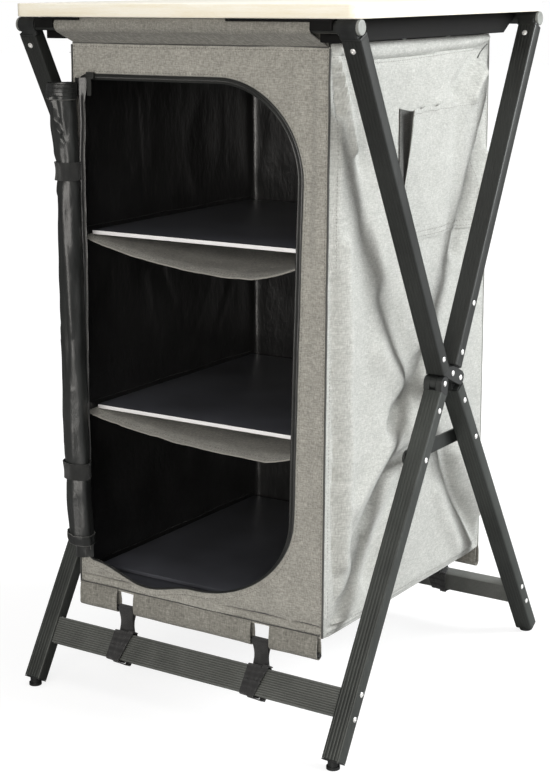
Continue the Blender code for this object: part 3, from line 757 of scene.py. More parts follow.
def openingOutline():
    right, left = opening["right"] - opening["radius"], opening["left"] + opening["small"]
    wide, small = opening["radius"], opening["small"]
    low = right - opening["taper"] - wide * (opening["stretch"] - 1)
    points = []

    def corner(x, z, radius, quarter, stretch=1.0):
        for step in range(opening["arcSteps"] + 1):
            angle = pi / 2 * (quarter + step / opening["arcSteps"])
            points.append((x + radius * stretch * cos(angle), z + radius * sin(angle)))

    corner(left, opening["bottom"] + opening["leftRise"] + small, small, 2)
    for step in range(1, opening["sagSteps"]):
        share = step / opening["sagSteps"]
        dip = opening["sag"] * (1 - cos(2 * pi * share)) / 2
        points.append((left + (low - left) * share,
                       opening["bottom"] + opening["leftRise"] * (1 - share) - dip))
    corner(low, opening["bottom"] + wide, wide, 3, opening["stretch"])
    corner(right, opening["top"] - wide, wide, 0)
    corner(left, opening["top"] - small, small, 1)
    return points


def evenly(points, step):
    # The same line in even steps
    total = sum((second - first).length for first, second in zip(points, points[1:]))
    count, index, passed, spots = max(2, round(total / step)), 0, 0.0, []
    for number in range(count):
        reach = total * number / (count - 1) * 0.999999
        while passed + (points[index + 1] - points[index]).length < reach:
            passed += (points[index + 1] - points[index]).length
            index += 1
        part = (points[index + 1] - points[index]).length
        spots.append(points[index].lerp(points[index + 1], (reach - passed) / max(part, 1e-9)))
    return spots


def spaced(points, step):
    # Even steps along the opening, with the outward direction at each
    found = evenly([Vector(point) for point in points], step)
    ways = []
    for before, after in zip([found[0], *found], [*found[1:], found[-1]]):
        along = (after - before).normalized()
        ways.append(Vector((along.y, -along.x)))
    return list(zip(found, ways))


frontFolds = inMetres((
    (2.2, 5.5, ((158, 800), (158.5, 740), (158, 600))), (-2.2, 6, ((171, 800), (171.5, 720), (171, 560))),
    (1.6, 6, ((160, 560), (157.5, 400), (160, 300))), (-1.6, 12, ((-120, 806), (-20, 802))),
    (1.4, 12, ((20, 800), (110, 806))), (-2.8, 16, ((-90, 146), (30, 139))),
    (2.6, 6, ((-182, 147.5), (0, 146.5), (182, 147.5))), (2.2, 10, ((90, 175), (100, 142))),
    (-2, 10, ((125, 190), (140, 145)))))


def frontWave(x, z):
    calm = between(0.184, 0.176, abs(x)) * 0.85 + 0.15
    drift = softNoise(x, 0.3, z, 11) * 0.0014 + softNoise(x, 1.7, z, 34) * 0.0005
    return (foldsAt(x, z, frontFolds) + drift) * calm


def frontPoint(x, z, out=0.0):
    # A point on the front cloth, out in front of it
    return Vector((x, frontFace(z) + frontWave(x, z) - out, z))


panel = {"columns": 92, "rows": 172}
height = body["top"] - body["hem"]
front = gridSheet("front_cloth", panel["columns"], panel["rows"],
                  lambda u, v: Vector(((u * 2 - 1) * body["half"], 0, body["hem"] + height * v)),
                  (2 * body["half"], height))
thickened(front, body["cloth"])
outline = openingOutline()
cutter = plate("opening_cutter", [(x, -0.01, z) for x, z in outline], (0, 0.02, 0))
modified(front, "BOOLEAN", operation="DIFFERENCE", object=cutter, solver="EXACT")
bpy.data.objects.remove(cutter)
moved(front, lambda spot: frontPoint(spot.x, spot.z, -body["cloth"] / 2 - spot.y))
innerSide(front, lambda spot, way: way.y > 0.5)
dress(front, (heather, lining), cabinet, "fabric", "front_panel")
print("front cloth done")

zipLine = spaced(outline, 0.004)


def alongZip(name, profile, size):
    # A band along the opening's sewn edge; profile holds (distance outwards, height) pairs
    count = len(zipLine)

    def place(u, v):
        index = round(u * (count - 1))
        off, out = profile[round(v * (len(profile) - 1))]
        edge, way = zipLine[index]
        flat = 0.3 + 0.7 * between(0.165, 0.3, edge.y)
        spot = edge + way * off * flat
        return frontPoint(spot.x, spot.y, out * flat)

    return gridSheet(name, count - 1, len(profile) - 1, place, size)


tape = {"profile": inMetres((
    (-0.4, -1.6), (-0.9, 0.3), (-0.4, 1.3), (0.5, 1.6), (1.4, 1.2), (1.8, 0.6), (2.6, 0.5), (3.1, 1.1),
    (4.1, 1.4), (5.2, 1.2), (5.9, 0.7), (6.2, -0.2))), "thickness": 0.0006}
band = thickened(alongZip("zip_tape", tape["profile"], (1.7, 0.009)), tape["thickness"])
dress(band, trimCloth, cabinet, "zip_black", "zip_track")
edgeLine = [frontPoint(*(spot + way * 0.0066 * (0.3 + 0.7 * between(0.165, 0.3, spot.y))), 0.0004)
            for spot, way in zipLine]
seam("zip_edge_thread", edgeLine, 0.0003, lightThread, "zip_black")

coil = {"pitch": 0.0021, "off": 0.0022, "out": 0.00095, "radius": 0.00065, "half": 0.00095}
tooth = added("tooth", bpy.ops.mesh.primitive_cylinder_add, vertices=6, radius=coil["radius"],
              depth=2 * coil["half"])
bevelled(tooth, lambda middle, way: abs(middle.z) > coil["half"] * 0.9, 0.0002, 1)


def pathMatrices(points, outs, turn):
    # One matrix for each point: X along the path, Z outwards
    found = []
    for index, spot in enumerate(points):
        along = (points[min(index + 1, len(points) - 1)] - points[max(index - 1, 0)]).normalized()
        out = (outs - along * outs.dot(along)).normalized()
        side = out.cross(along)
        found.append(Matrix.Translation(spot) @ Matrix((along, side, out)).transposed().to_4x4() @ turn)
    return found


teeth = [frontPoint(*(spot + way * coil["off"]), coil["out"])
         for spot, way in spaced(outline, coil["pitch"]) if spot.y > 0.24]
dress(repeated("zip_coil", tooth, pathMatrices(teeth, Vector((0, -1, 0)), Matrix.Rotation(pi / 2, 4, "X"))),
      zipPlastic, cabinet, "zip_black")


def stitches(name, rows, out, pitch=0.0042):
    # Rows of stitches, each a flattened bead, along lines of points
    seed = added("stitch", bpy.ops.mesh.primitive_uv_sphere_add, segments=6, ring_count=4, radius=0.5,
                 scale=(0.0029, 0.0008, 0.00055))
    matrices = [matrix for points in rows
                for matrix in pathMatrices(evenly(points, pitch), Vector(out), Matrix.Identity(4))]
    return dress(repeated(name, seed, matrices), threadCloth, cabinet, "fabric")


def frontRow(points, out=0.0001):
    return [frontPoint(x, z, out) for x, z in points]


ring = [frontPoint(*(spot + way * 0.0092), 0.0001) for spot, way in spaced(outline, 0.01)]
stitches("front_stitching",
         [ring, frontRow([(-0.181 + 0.002 * step, 0.8195) for step in range(182)]),
          frontRow([(0.1808, 0.14 + 0.005 * step) for step in range(137)]),
          frontRow([(-0.1808, 0.14 + 0.005 * step) for step in range(137)])],
         (0, -1, 0))
topSeam = [Vector((x, frontFace(0.8228) - 0.0003, 0.8236 + softNoise(x, 0.2, 0.9, 14) * 0.0012))
           for x in [-0.1825 + 0.0025 * step for step in range(147)]]
# The seam cord is in the painted-shade cloth: a dark line that stands for the shadow in the gap under the
# sleeve.
seam("front_top_seam", topSeam, 0.0007, heatherPaintedShade)
print("zip and front seams done")


# Hems: cloth folded round the rods, in lengths between the straps

hem = {"rod": 0.1125, "radius": 0.0052, "topFront": 0.0016, "topBack": 0.0034, "top": 0.1385,
       "thickness": 0.0011, "under": 0.55, "round": 20, "cloth": 0.07}


def hemLoop(name, facing, low, high):
    face = frontFace(body["hem"]) if facing < 0 else body["back"]
    rodY = frontFace(body["hem"]) + 0.001 if facing < 0 else body["back"] - 0.001
    width, wrap = high - low, radians(98)

    def place(u, v):
        x = low + width * u
        ripple = softNoise(x, facing, v, 45) * 0.0006 + softNoise(x, facing + 3, 0.2, 16) * 0.0012
        share = v * 2 - 1
        if abs(share) < hem["under"]:       # the part round the rod
            angle, radius = share / hem["under"] * wrap, hem["radius"] + ripple * 0.6
            return Vector((x, rodY + radius * sin(angle), hem["rod"] - radius * cos(angle)))
        side = 1 if share > 0 else -1
        climb = (abs(share) - hem["under"]) / (1 - hem["under"])
        startY = rodY + side * hem["radius"] * sin(wrap)
        startZ = hem["rod"] - hem["radius"] * cos(wrap)
        endY = face + facing * (hem["topFront"] if side * facing > 0 else -hem["topBack"])
        bulge = sin(pi * climb) * 0.0012 * side
        return Vector((x, startY + (endY - startY) * climb + bulge + ripple,
                       startZ + (hem["top"] - startZ) * climb))

    piece = gridSheet(name, max(8, round(width / 0.004)), hem["round"], place, (width, hem["cloth"]))
    thickened(piece, hem["thickness"])
    # The hems take the darker copy of the cloth: painted shade.
    return dress(piece, heatherDimShade, cabinet, "fabric")


hemSpans = {-1: ((-0.1835, -0.1235), (-0.0965, 0.0835), (0.1105, 0.1792)),
            1: ((-0.184, -0.124), (-0.096, 0.096), (0.124, 0.184))}
hems = {}
for facing, end in endNames:
    hems[facing] = [hemLoop(f"{end}_hem_{number + 1}", facing, low, high)
                    for number, (low, high) in enumerate(hemSpans[facing])]
stitches("front_hem_stitching",
         [[Vector((low + 0.003 + (high - low - 0.006) * step / 30,
                   frontFace(0.1365) - hem["topFront"] - 0.0009, 0.1363)) for step in range(31)]
          for low, high in hemSpans[-1]], (0, -1, 0))
for facing, end in endNames:
    face = frontFace(hem["top"]) - hem["topFront"] if facing < 0 else body["back"] + hem["topFront"]
    points = [Vector((-0.182 + along, face + facing * 0.0008 + softNoise(along, facing, 0, 30) * 0.0004,
                      hem["top"] + 0.0004 + softNoise(along, facing, 2, 12) * 0.001))
              for along in [0.004 * step for step in range(92)]]
    # The hem seam cords are in the painted-shade cloth: painted shade in the fold above each hem.
    seam(f"{end}_hem_seam", points, 0.0008, heatherPaintedShade, crumples=facing > 0)
print("hems done")


# Sides: hung from their top folds and drawn in at the corners

sideFolds = inMetres((
    (-6, 5.5, ((190, 816), (164, 810), (134.1, 796), (117.3, 785))),
    (-3.4, 13, ((164.1, 806), (127.3, 786.5), (89.5, 766))),
    (3.4, 8, ((160, 780), (144, 770), (125, 750))),
    (-4, 11, ((179.9, 730), (159.7, 694.2), (126.5, 652.5), (113.9, 621.9), (93.3, 560))),
    (3.4, 13, ((176, 670), (150, 625), (138, 560))), (-2, 16, ((90, 760), (80, 650), (70, 550))),
    (-4.6, 5, ((-200, 818), (-192, 795), (-186, 750))),
    (3, 6, ((-192, 815.2), (-176.8, 765.2), (-159.1, 708.2))),
    (-2.2, 10, ((-175, 805), (-150, 750), (-135, 690))),
    (-3.6, 20, ((-82.1, 525.2), (-31.8, 450.5), (-5, 420))), (3, 18, ((-95, 460), (-55, 420))),
    (-4.4, 12, ((15.6, 433), (-25, 400.4), (-55.6, 382.2), (-67.8, 360))),
    (3, 12, ((5, 380), (-30, 356))),
    (-4.6, 11, ((5, 324), (-66.8, 314.8), (-97, 290.5), (-138.4, 250.8), (-155.9, 230.5))),
    (3.4, 14, ((-70, 348), (-115, 320), (-160, 285))), (-3.4, 16, ((-40, 290), (-90, 240), (-120, 190))),
    (-5, 11, ((70, 310), (78, 286.3), (100.6, 239.7), (145.9, 185.9), (177.3, 148.7))),
    (3.6, 13, ((105, 290), (140, 240), (178, 200))), (2.6, 14, ((50, 250), (80, 200), (110, 160))),
    (-5.5, 10, ((-202, 560), (-198.5, 420), (-195.5, 360), (-200, 330))),
    (-5, 10, ((-200, 330), (-199, 250), (-194, 170))),
    (3.4, 10, ((-177, 600), (-174, 470), (-171, 360), (-177, 300), (-178, 220))),
    (-4.4, 9, ((-132.4, 236.4), (-149.8, 197), (-178.7, 165.3), (-200, 152))),
    (-1.8, 20, ((-130, 700), (-125, 520), (-140, 380))), (-1.6, 1.6, ((-220, 145), (200, 145)))))
leftFolds = tuple((height * 0.9, width * 1.15, tuple((y * 0.96 - 0.006, z - 0.012) for y, z in points))
                  for height, width, points in sideFolds)
sideCloth = {"columns": 128, "rows": 210, "stand": 0.0102, "relief": 2.3, "roll": 0.0034}


def rollSeam(y):
    return 0.8066 + 0.0093 * exp(-((y + 0.2) / 0.05) ** 2) + 0.0062 * between(-0.1, 0.19, y)


def sideWave(side, y, z):
    # How far the side cloth stands out
    folds = sideFolds if side > 0 else leftFolds
    seam = rollSeam(y)
    middle, half = (body["sideTop"] + seam) / 2, (body["sideTop"] - seam) / 2
    share = (z - middle) / half
    roll = sqrt(max(0.0, 1 - share * share)) * sideCloth["roll"] if abs(share) < 1 else 0
    drift = softNoise(y, side * 2.3, z, 7) * 0.0034 + softNoise(y, side * 4.1, z, 21) * 0.0016
    drift -= 0.0042 * exp(-((z - seam) / 0.0032) ** 2)
    behind = y - frontFace(z)
    calm = min(between(0.0, 0.0135 if side > 0 else 0.032, behind), between(0.1925, 0.168, y)) * 0.94 + 0.06
    hang = 0.25 + 0.75 * between(0.135, 0.150, z)
    stand = max(0.0006, sideCloth["stand"] + foldsAt(y, z, folds) * sideCloth["relief"] + drift)
    return (stand * hang + roll) * calm


def sidePoint(side, y, z, out=0.0):
    return Vector((side * (body["half"] - 0.0008 + sideWave(side, y, z) + out), y, z))


sides = {}
for side, label in sideNames:
    def place(u, v):
        z = body["hem"] + (body["sideTop"] - body["hem"]) * v
        low, high = frontFace(z) + 0.0012, body["back"] - 0.0012
        return sidePoint(side, low + (high - low) * u, z)

    piece = gridSheet(f"side_cloth_{label}", sideCloth["columns"], sideCloth["rows"], place, (0.396, 0.692))
    thickened(piece, body["cloth"])
    innerSide(piece, lambda spot, way: way.x * side < -0.5)
    # The sides take the lighter copy of the cloth: painted light.
    dress(piece, (heatherSideLit, lining), cabinet, "fabric", f"side_panel_{label}")
    sides[side] = piece
    depths = [-0.2 + 0.005 * step for step in range(78)]
    heights = [0.14 + 0.005 * step for step in range(133)]
    rows = [[sidePoint(side, y, rollSeam(y) - 0.0035, 0.0008) for y in depths],
            [sidePoint(side, frontFace(z) + 0.0085, z, 0.0008) for z in heights],
            [sidePoint(side, 0.1865, z, 0.0008) for z in heights],
            [sidePoint(side, y, 0.1475, 0.0008) for y in depths]]
    collapses(stitches(f"side_stitching_{label}", rows, (side, 0, 0)))
    # A thin dark cord laid in the crease under the top roll: painted shadow of the crease.
    creaseShadowLine = [sidePoint(side, 0.188 - 0.0022 * step, 0.8145 - 0.0009 * step - 0.00002 * step * step, 0.0011)
            for step in range(15)]
    seam(f"side_crease_shadow_{label}", creaseShadowLine, 0.0008, heatherPaintedShade, crumples=True)
    hemLine = [sidePoint(side, -0.206 + 0.005 * step, 0.1362, 0.0002) for step in range(80)]
    # The bottom welt takes the same lighter copy: painted light.
    seam(f"side_bottom_welt_{label}", hemLine, 0.0014, heatherSideLit, crumples=True)
print("side cloths done")

backFolds = inMetres((
    (-3, 12, ((-120, 800), (-100, 620), (-130, 450))), (2.8, 14, ((50, 810), (70, 600), (30, 380))),
    (-3, 10, ((150, 420), (110, 280), (140, 160))), (2.6, 12, ((-150, 360), (-90, 220), (-30, 150)))))


def backPoint(x, z, out=0.0):
    calm = between(0.184, 0.168, abs(x)) * 0.9 + 0.1
    wave = foldsAt(x, z, backFolds) + softNoise(x, 5.2, z, 8) * 0.0028 + softNoise(x, 7.7, z, 25) * 0.0008
    wave = max(-0.0008, 0.0028 + wave) * calm
    wave *= between(0.135, 0.16, z) * between(0.824, 0.81, z)
    return Vector((x, body["back"] - 0.0008 + wave + out, z))


back = gridSheet("back_cloth", panel["columns"], panel["rows"],
                 lambda u, v: backPoint((u * 2 - 1) * body["half"], body["hem"] + height * v),
                 (2 * body["half"], height))
thickened(back, body["cloth"])
innerSide(back, lambda spot, way: way.y < -0.5)
dress(back, (heather, lining), cabinet, "fabric", "back_panel")
widths = [-0.18 + 0.005 * step for step in range(73)]
heights = [0.145 + 0.005 * step for step in range(135)]
collapses(stitches("back_stitching", [[backPoint(x, 0.8195, 0.0008) for x in widths],
                                      [backPoint(x, 0.141, 0.0008) for x in widths],
                                      [backPoint(-0.1805, z, 0.0008) for z in heights],
                                      [backPoint(0.1805, z, 0.0008) for z in heights]], (0, 1, 0)))

# Corner seams, a thin welt up each corner

for facing, end in endNames:
    for side, label in sideNames:
        points = []
        for step in range(141):
            z = 0.136 + (0.822 - 0.136) * step / 140
            y = frontFace(z) if facing < 0 else body["back"]
            points.append(Vector((side * (body["half"] + 0.0004 + softNoise(side, facing, z, 30) * 0.0004),
                                  y + facing * 0.0003 + softNoise(side + 5, facing, z, 22) * 0.0004, z)))
        # The front welts are in the painted-shade cloth, a dark line for the shaded valley beside the front
        # corner; the rear welts take the lighter side copy, painted light.
        radius, finish = (0.0013, heatherPaintedShade) if facing < 0 else (0.001, heatherSideLit)
        seam(f"{end}_corner_welt_{label}", points, radius, finish, crumples=facing > 0)
print("back and corners done")


# Lining: one black coated sheet round the left, back and right walls

liningFolds = {
    "left": inMetres((
        (4.2, 4.5, ((80.6, 490.4), (16.2, 389.6))), (3.6, 6.5, ((134.1, 482.5), (88.1, 409.5))),
        (3, 2.8, ((132.2, 399.9), (119.3, 379.3))), (2.6, 2.5, ((157.4, 391.4), (146.9, 378.5))),
        (3.4, 6, ((-31.2, 520.5), (-8.4, 472.1))), (-3, 8, ((-55.4, 517.3), (-36.3, 442.4), (-50, 390))),
        (3.6, 8, ((-96.2, 659.9), (-125.4, 605.2))),
        (3, 3.5, ((-77.6, 756.6), (-72.3, 683.4), (-69.3, 610))), (3.8, 4.5, ((-20.3, 210), (-40, 165))),
        (3.4, 4, ((-106.3, 185), (-117.9, 164))), (3.4, 6, ((50, 330), (0, 230))))),
    "back": inMetres((
        (3, 4.5, ((-60, 780), (-55, 620))), (-2.6, 8, ((20, 770), (30, 640))),
        (3.4, 6, ((90, 550), (60, 400))), (3, 7, ((-80, 320), (-20, 180))),
        (2.4, 4, ((130, 770), (125, 610))))),
    "right": inMetres((
        (3, 8, ((20, 760), (-20, 620))), (3.4, 8, ((80, 520), (0, 400))), (3, 8, ((-80, 320), (30, 200)))))}
liningWall = {"side": 0.1812, "back": 0.1898, "front": 0.0028, "low": 0.149, "high": 0.8215,
              "corner": 0.007, "levels": (0.5905, 0.3655, 0.1503)}


def liningPlace(u, v):
    z = liningWall["low"] + (liningWall["high"] - liningWall["low"]) * v
    near, side = frontFace(z) + liningWall["front"], liningWall["side"]
    back, corner = liningWall["back"], liningWall["corner"]
    run, wide = back - near - corner, 2 * (side - corner)
    bend = corner * pi / 2
    reach = u * (2 * run + wide + 2 * bend)
    room = min(abs(z - level) for level in liningWall["levels"])
    loose = 0.35 + 0.65 * between(0.004, 0.035, room)
    if reach < run:
        wall, across, spot, way = "left", near + reach, Vector((-side, near + reach, z)), Vector((1, 0, 0))
    elif reach < run + bend:
        angle = (reach - run) / corner
        wall, across = "corner", 0
        way = Vector((cos(angle), -sin(angle), 0))
        spot = Vector((-side + corner, back - corner, z)) - way * corner
    elif reach < run + bend + wide:
        across = -side + corner + reach - run - bend
        wall, spot, way = "back", Vector((across, back, z)), Vector((0, -1, 0))
    elif reach < run + 2 * bend + wide:
        angle = (reach - run - bend - wide) / corner
        wall, across = "corner", 0
        way = Vector((-sin(angle), -cos(angle), 0))
        spot = Vector((side - corner, back - corner, z)) - way * corner
    else:
        across = back - corner - (reach - run - 2 * bend - wide)
        wall, spot, way = "right", Vector((side, across, z)), Vector((-1, 0, 0))
    inwards = foldsAt(across, z, liningFolds[wall]) if wall in liningFolds else 0
    inwards += abs(softNoise(spot.x, spot.y, z * 0.55, 13)) * 0.0042
    inwards += softNoise(spot.x, spot.y, z * 0.4, 42) * 0.0011
    limit = 0.0045 if wall == "back" else 0.0034
    return spot + way * inwards / (1 + abs(inwards) / limit) * loose


liningSheet = thickened(gridSheet("black_lining", 236, 150, liningPlace, (1.12, 0.672)), 0.0005)
dress(liningSheet, lining, cabinet, "fabric", angle=60)


def liningSeam(v, along):
    # along is 0 at the left front edge, 1 and 2 at the rear corners and 3 at the right front edge
    z = liningWall["low"] + (liningWall["high"] - liningWall["low"]) * v
    run = liningWall["back"] - frontFace(z) - liningWall["front"] - liningWall["corner"]
    bend, wide = liningWall["corner"] * pi / 2, 2 * (liningWall["side"] - liningWall["corner"])
    stops = (0, run + bend / 2, run + 1.5 * bend + wide, 2 * (run + bend) + wide)
    index = min(2, int(along))
    reach = stops[index] + (stops[index + 1] - stops[index]) * (along - index)
    spot = liningPlace(reach / stops[3], v)
    return spot - Vector((spot.x / 0.18, 1 if 0.99 < along < 2.01 else 0, 0)) * 0.0009


for along, label in ((1, "left"), (2, "right")):
    points = [liningSeam(0.01 + 0.98 * step / 150, along) for step in range(151)]
    seam(f"lining_corner_seam_{label}", points, 0.0005, lining, crumples=True)
for number, level in enumerate(liningWall["levels"]):
    v = (level + 0.0075 - liningWall["low"]) / (liningWall["high"] - liningWall["low"])
    for start, label in ((0.02, "left"), (2.02, "right")):
        points = [liningSeam(v + 0.0016 * sin(step * 0.3) * (step % 60) / 60, start + 0.96 * step / 60)
                  for step in range(61)]
        seam(f"lining_shelf_seam_{label}_{number + 1}", points, 0.0006, doorCloth, crumples=True)
print("lining done")


def floorPlace(u, v):
    sag = sin(pi * u) * sin(pi * v) ** 2 * 0.004
    rise = 0.0022 * between(0.08, 0.03, v) + softNoise(u, v, 1.1, 5) * 0.0006
    return Vector(((u * 2 - 1) * 0.1822, -0.2125 + 0.4035 * v, 0.1462 - sag + rise))


floorCloth = gridSheet("floor_cloth", 60, 60, floorPlace, (0.364, 0.4))
thickened(floorCloth, body["cloth"])
innerSide(floorCloth, lambda spot, way: way.z > 0.5)
# The floor cloth's underside and edges take the darker copy of the cloth: painted shade.
dress(floorCloth, (heatherDimShade, boardCoat), cabinet, "fabric", "floor_panel")

# Slings under the two shelves


def slingCloth(name, boardTop, dropFront, low, stands):
    edge = boardTop - 0.0053

    def place(u, v):
        near = frontFace(edge) + 0.0115
        drop = dropFront + (0.006 - dropFront) * v
        dip = drop * (1 - (1 - u / low) ** 2.2 if u < low else 1 - ((u - low) / (1 - low)) ** 1.3)
        curl = exp(-v * 46) * 0.0016
        crease = softNoise(u, v * 0.6, boardTop, 14) * 0.0011 + softNoise(u, v, boardTop + 2, 40) * 0.0004
        return Vector((0.1802 * (2 * u - 1), near + (0.1896 - near) * v - curl * 0.4,
                       edge - dip - curl + crease * min(1, dip / 0.004)))

    piece = gridSheet(name, 90, 70, place, (0.375, 0.41))
    thickened(piece, 0.0013)
    dress(piece, heather, cabinet, "fabric", stands)
    hemLine = [place(0.03 + 0.95 * step / 90, 0.0) - Vector((0, 0.0004, 0)) for step in range(91)]
    seam(f"{name}_hem", hemLine, 0.0011, heather, crumples=True)
    rows = [[place(0.02 + 0.96 * step / 60, 0.02) + Vector((0, 0, 0.0008)) for step in range(61)]]
    collapses(stitches(f"{name}_stitching", rows, (0, -0.3, 1)))
    return piece


slings = [slingCloth("upper_sling_cloth", 0.593, 0.0325, 0.68, "upper_sling"),
          slingCloth("lower_sling_cloth", 0.368, 0.0245, 0.76, "lower_sling")]
for piece in [back, liningSheet, floorCloth, *slings, *hems[1], *sides.values()]:
    collapses(piece)
print("floor and slings done")


# Shelf boards: coated faces and pale cut edges

shelf = {"width": 0.356, "depth": 0.358, "thickness": 0.005}
for name, board, high in (("upper_shelf", "upper_board", 0.593), ("lower_shelf", "lower_board", 0.368),
                          ("floor_board", "bottom_board", 0.1528)):
    plank = block(f"{name}_board", (0, 0, high - shelf["thickness"] / 2),
                  (shelf["width"], shelf["depth"], shelf["thickness"]))
    bevelled(plank, upright, 0.004, 5)
    bevelled(plank, lambda middle, way: abs(way.z) < 0.1, 0.0005, 2)
    pale = name != "floor_board"
    innerSide(plank, lambda spot, way: pale and abs(way.z) < 0.7)
    collapses(dress(plank, (boardCoat, boardEdge), board, "board", name))
print("boards done")


# Sleeves round the rails, tapering to the seam at the panels' top

sleeve = {"radius": 0.0088, "half": 0.1805, "seam": 0.8262, "thickness": 0.0012, "around": 44}


def sleeveCloth(facing, end):
    rail = Vector((facing * line["railSpread"], line["rail"]))
    seam = Vector((facing * (0.195 if facing < 0 else 0.192), sleeve["seam"]))
    drop = seam - rail
    heading = atan2(drop.y, drop.x)

    def place(u, v):
        x = sleeve["half"] * (2 * v - 1)
        angle = heading + 2 * pi * u
        reach = cos(angle - heading)
        radius = sleeve["radius"] + softNoise(x, u * 3, facing, 18) * 0.0007
        pull = between(0.15, 1.0, reach) ** 1.25
        narrow = 1 - 0.62 * pull
        y = rail.x + radius * cos(angle) * narrow + drop.x * pull * 0.99
        z = rail.y + radius * sin(angle) * narrow + drop.y * pull * 0.99
        sag = softNoise(x, 1.5, facing, 12) * 0.0012 * pull
        return Vector((x, y + sag, min(z, 0.8546)))

    piece = wrapped(f"{end}_sleeve_cloth", sleeve["around"], 96, place, (0.085, 2 * sleeve["half"]))
    thickened(piece, sleeve["thickness"])
    # The sleeves take the darker copy of the cloth: painted shade from the worktop above.
    dress(piece, heatherDimShade, f"upper_{end}_frame", "fabric", f"{end}_sleeve")


for facing, end in endNames:
    sleeveCloth(facing, end)
print("sleeves done")


# Side pocket: a flat face that gapes at its front corner, and the gusset behind the gap

pocket = {"front": -0.046, "back": 0.144, "low": 0.5865, "high": 0.748, "out": 0.0172, "point": 0.38}


def pocketFace(u, v, out=0.0):
    z = pocket["low"] + (pocket["high"] - pocket["low"]) * v
    gape = between(pocket["point"], 1.0, v) ** 0.8
    front = pocket["front"] + 0.0075 * (1 - v)
    y = front + (pocket["back"] - front) * u
    away = exp(-u * 4.2)
    stand = 0.0010 + pocket["out"] * gape * away
    stand += (softNoise(y, 3.3, z, 16) * 0.0014 + 0.0009) * sin(pi * u) * between(0.0, 0.15, v)
    stand += 0.0024 * between(0.92, 1.0, v) * between(0.72, 0.3, u) * (0.6 + 0.4 * sin(u * 24))
    edge = sin(u * 31) * 0.0011 + softNoise(y, 0.4, 9, 70) * 0.0012
    edge *= between(0.93, 1.0, v) * between(0.62, 0.4, u)
    base = sideWave(1, y, z) * (1 - 0.5 * gape * away)
    return Vector((body["half"] + base + stand + out, y, z + edge - 0.002 * away * gape))


face = gridSheet("pocket_face", 72, 60, pocketFace, (0.2, 0.165))
thickened(face, 0.0012)
# The pocket face takes the lighter copy of the cloth: painted light on the side.
dress(face, heatherSideLit, cabinet, "fabric", "side_pocket")


def pocketGusset(u, v):
    # From the seam on the side cloth, folded inwards, to the front edge of the face
    level = pocket["point"] - 0.06 + (1.06 - pocket["point"]) * v
    z = pocket["low"] + (pocket["high"] - pocket["low"]) * level
    edge = pocketFace(0.0, level, -0.0004)
    gape = between(0.0, 0.45, v)
    seamY = pocket["front"] - 0.0055 - 0.0045 * gape
    seam = Vector((body["half"] + sideWave(1, seamY, z) + 0.0008, seamY, z))
    spot = seam.lerp(edge, u)
    spot.y += sin(pi * u) * 0.015 * gape
    spot.x -= sin(pi * u) * 0.0028 * gape
    spot.z = z - 0.002 * u - 0.003 * sin(pi * u) * between(0.9, 1.0, v)
    return spot


gusset = gridSheet("pocket_gusset", 22, 40, pocketGusset, (0.036, 0.105))
thickened(gusset, 0.001)
# The gusset is in the painted-shade cloth: painted shade where it folds inwards behind the gap.
dress(gusset, heatherPaintedShade, cabinet, "fabric")
shares = [0.03 + 0.94 * step / 40 for step in range(41)]
pocketRows = [[pocketFace(share, 0.022, 0.0007) for share in shares],
              [pocketFace(share, 0.062, 0.0007) for share in shares],
              [pocketFace(0.985, share, 0.0007) for share in shares],
              [pocketFace(share, 0.965, 0.0007) for share in shares],
              [pocketFace(0.02, 0.03 + 0.45 * step / 20, 0.0007) for step in range(21)],
              [pocketGusset(0.0, 0.15 + 0.8 * step / 20) + Vector((0.0007, 0, 0)) for step in range(21)]]
pocketSeams = stitches("pocket_stitching", pocketRows, (1, 0, 0))
for piece in (face, gusset, pocketSeams):
    collapses(piece)
print("pocket done")


# Door, rolled up along the left edge of the opening: one sheet wound round itself

door = {"centre": -0.178, "radius": 0.0168, "high": 0.777, "low": 0.198, "flat": 0.94, "turns": 4.6,
        "core": 0.17, "relief": 1.3,
        "rings": (
        (0.0, 1.02, -0.42), (0.02, 1.08, -0.44), (0.08, 1.03, -0.34), (0.14, 0.97, -0.18),
        (0.185, 0.91, -0.06), (0.23, 0.96, -0.04), (0.45, 1.0, 0.06), (0.7, 0.99, 0.24), (0.8, 1.0, 0.32),
        (0.845, 0.95, 0.34), (0.89, 1.0, 0.4), (0.98, 1.0, 0.62), (1.0, 0.93, 0.66))}
doorFolds = inMetres((
    (1.6, 1.8, ((-188, 755), (-190, 730), (-188, 700))),
    (-1.4, 3, ((-172, 755), (-170, 720), (-174, 685))),
    (1.6, 2.4, ((-190, 460), (-186, 390), (-188, 310))),
    (-1.2, 2.2, ((-190, 640), (-187, 560), (-188.5, 480))),
    (1, 2, ((-182.5, 645), (-176.5, 585), (-178.5, 530))),
    (-1.2, 1.8, ((-174.5, 520), (-172, 455), (-175.5, 380))),
    (1.2, 2, ((-184, 470), (-180, 420), (-183, 330))),
    (2.2, 1.6, ((-187, 760), (-183, 735), (-174.5, 705))),
    (-2.6, 2.6, ((-181.5, 758), (-178.5, 735), (-173.5, 710))),
    (1.6, 3, ((-196, 750), (-192, 700), (-186, 684))), (1.2, 3, ((-178, 655), (-172, 560), (-168, 470))),
    (-1.4, 3, ((-186, 640), (-180, 520), (-181, 400))), (1.2, 2.6, ((-168, 400), (-166, 310))),
    (-1.2, 2.4, ((-178, 265), (-172, 215))), (1.2, 2.2, ((-168, 262), (-166, 210)))))


def doorRing(v):
    for (v1, r1, s1), (v2, r2, s2) in zip(door["rings"], door["rings"][1:]):
        if v <= v2:
            share = between(v1, v2, v)
            return r1 + (r2 - r1) * share, s1 + (s2 - s1) * share
    return door["rings"][-1][1:]


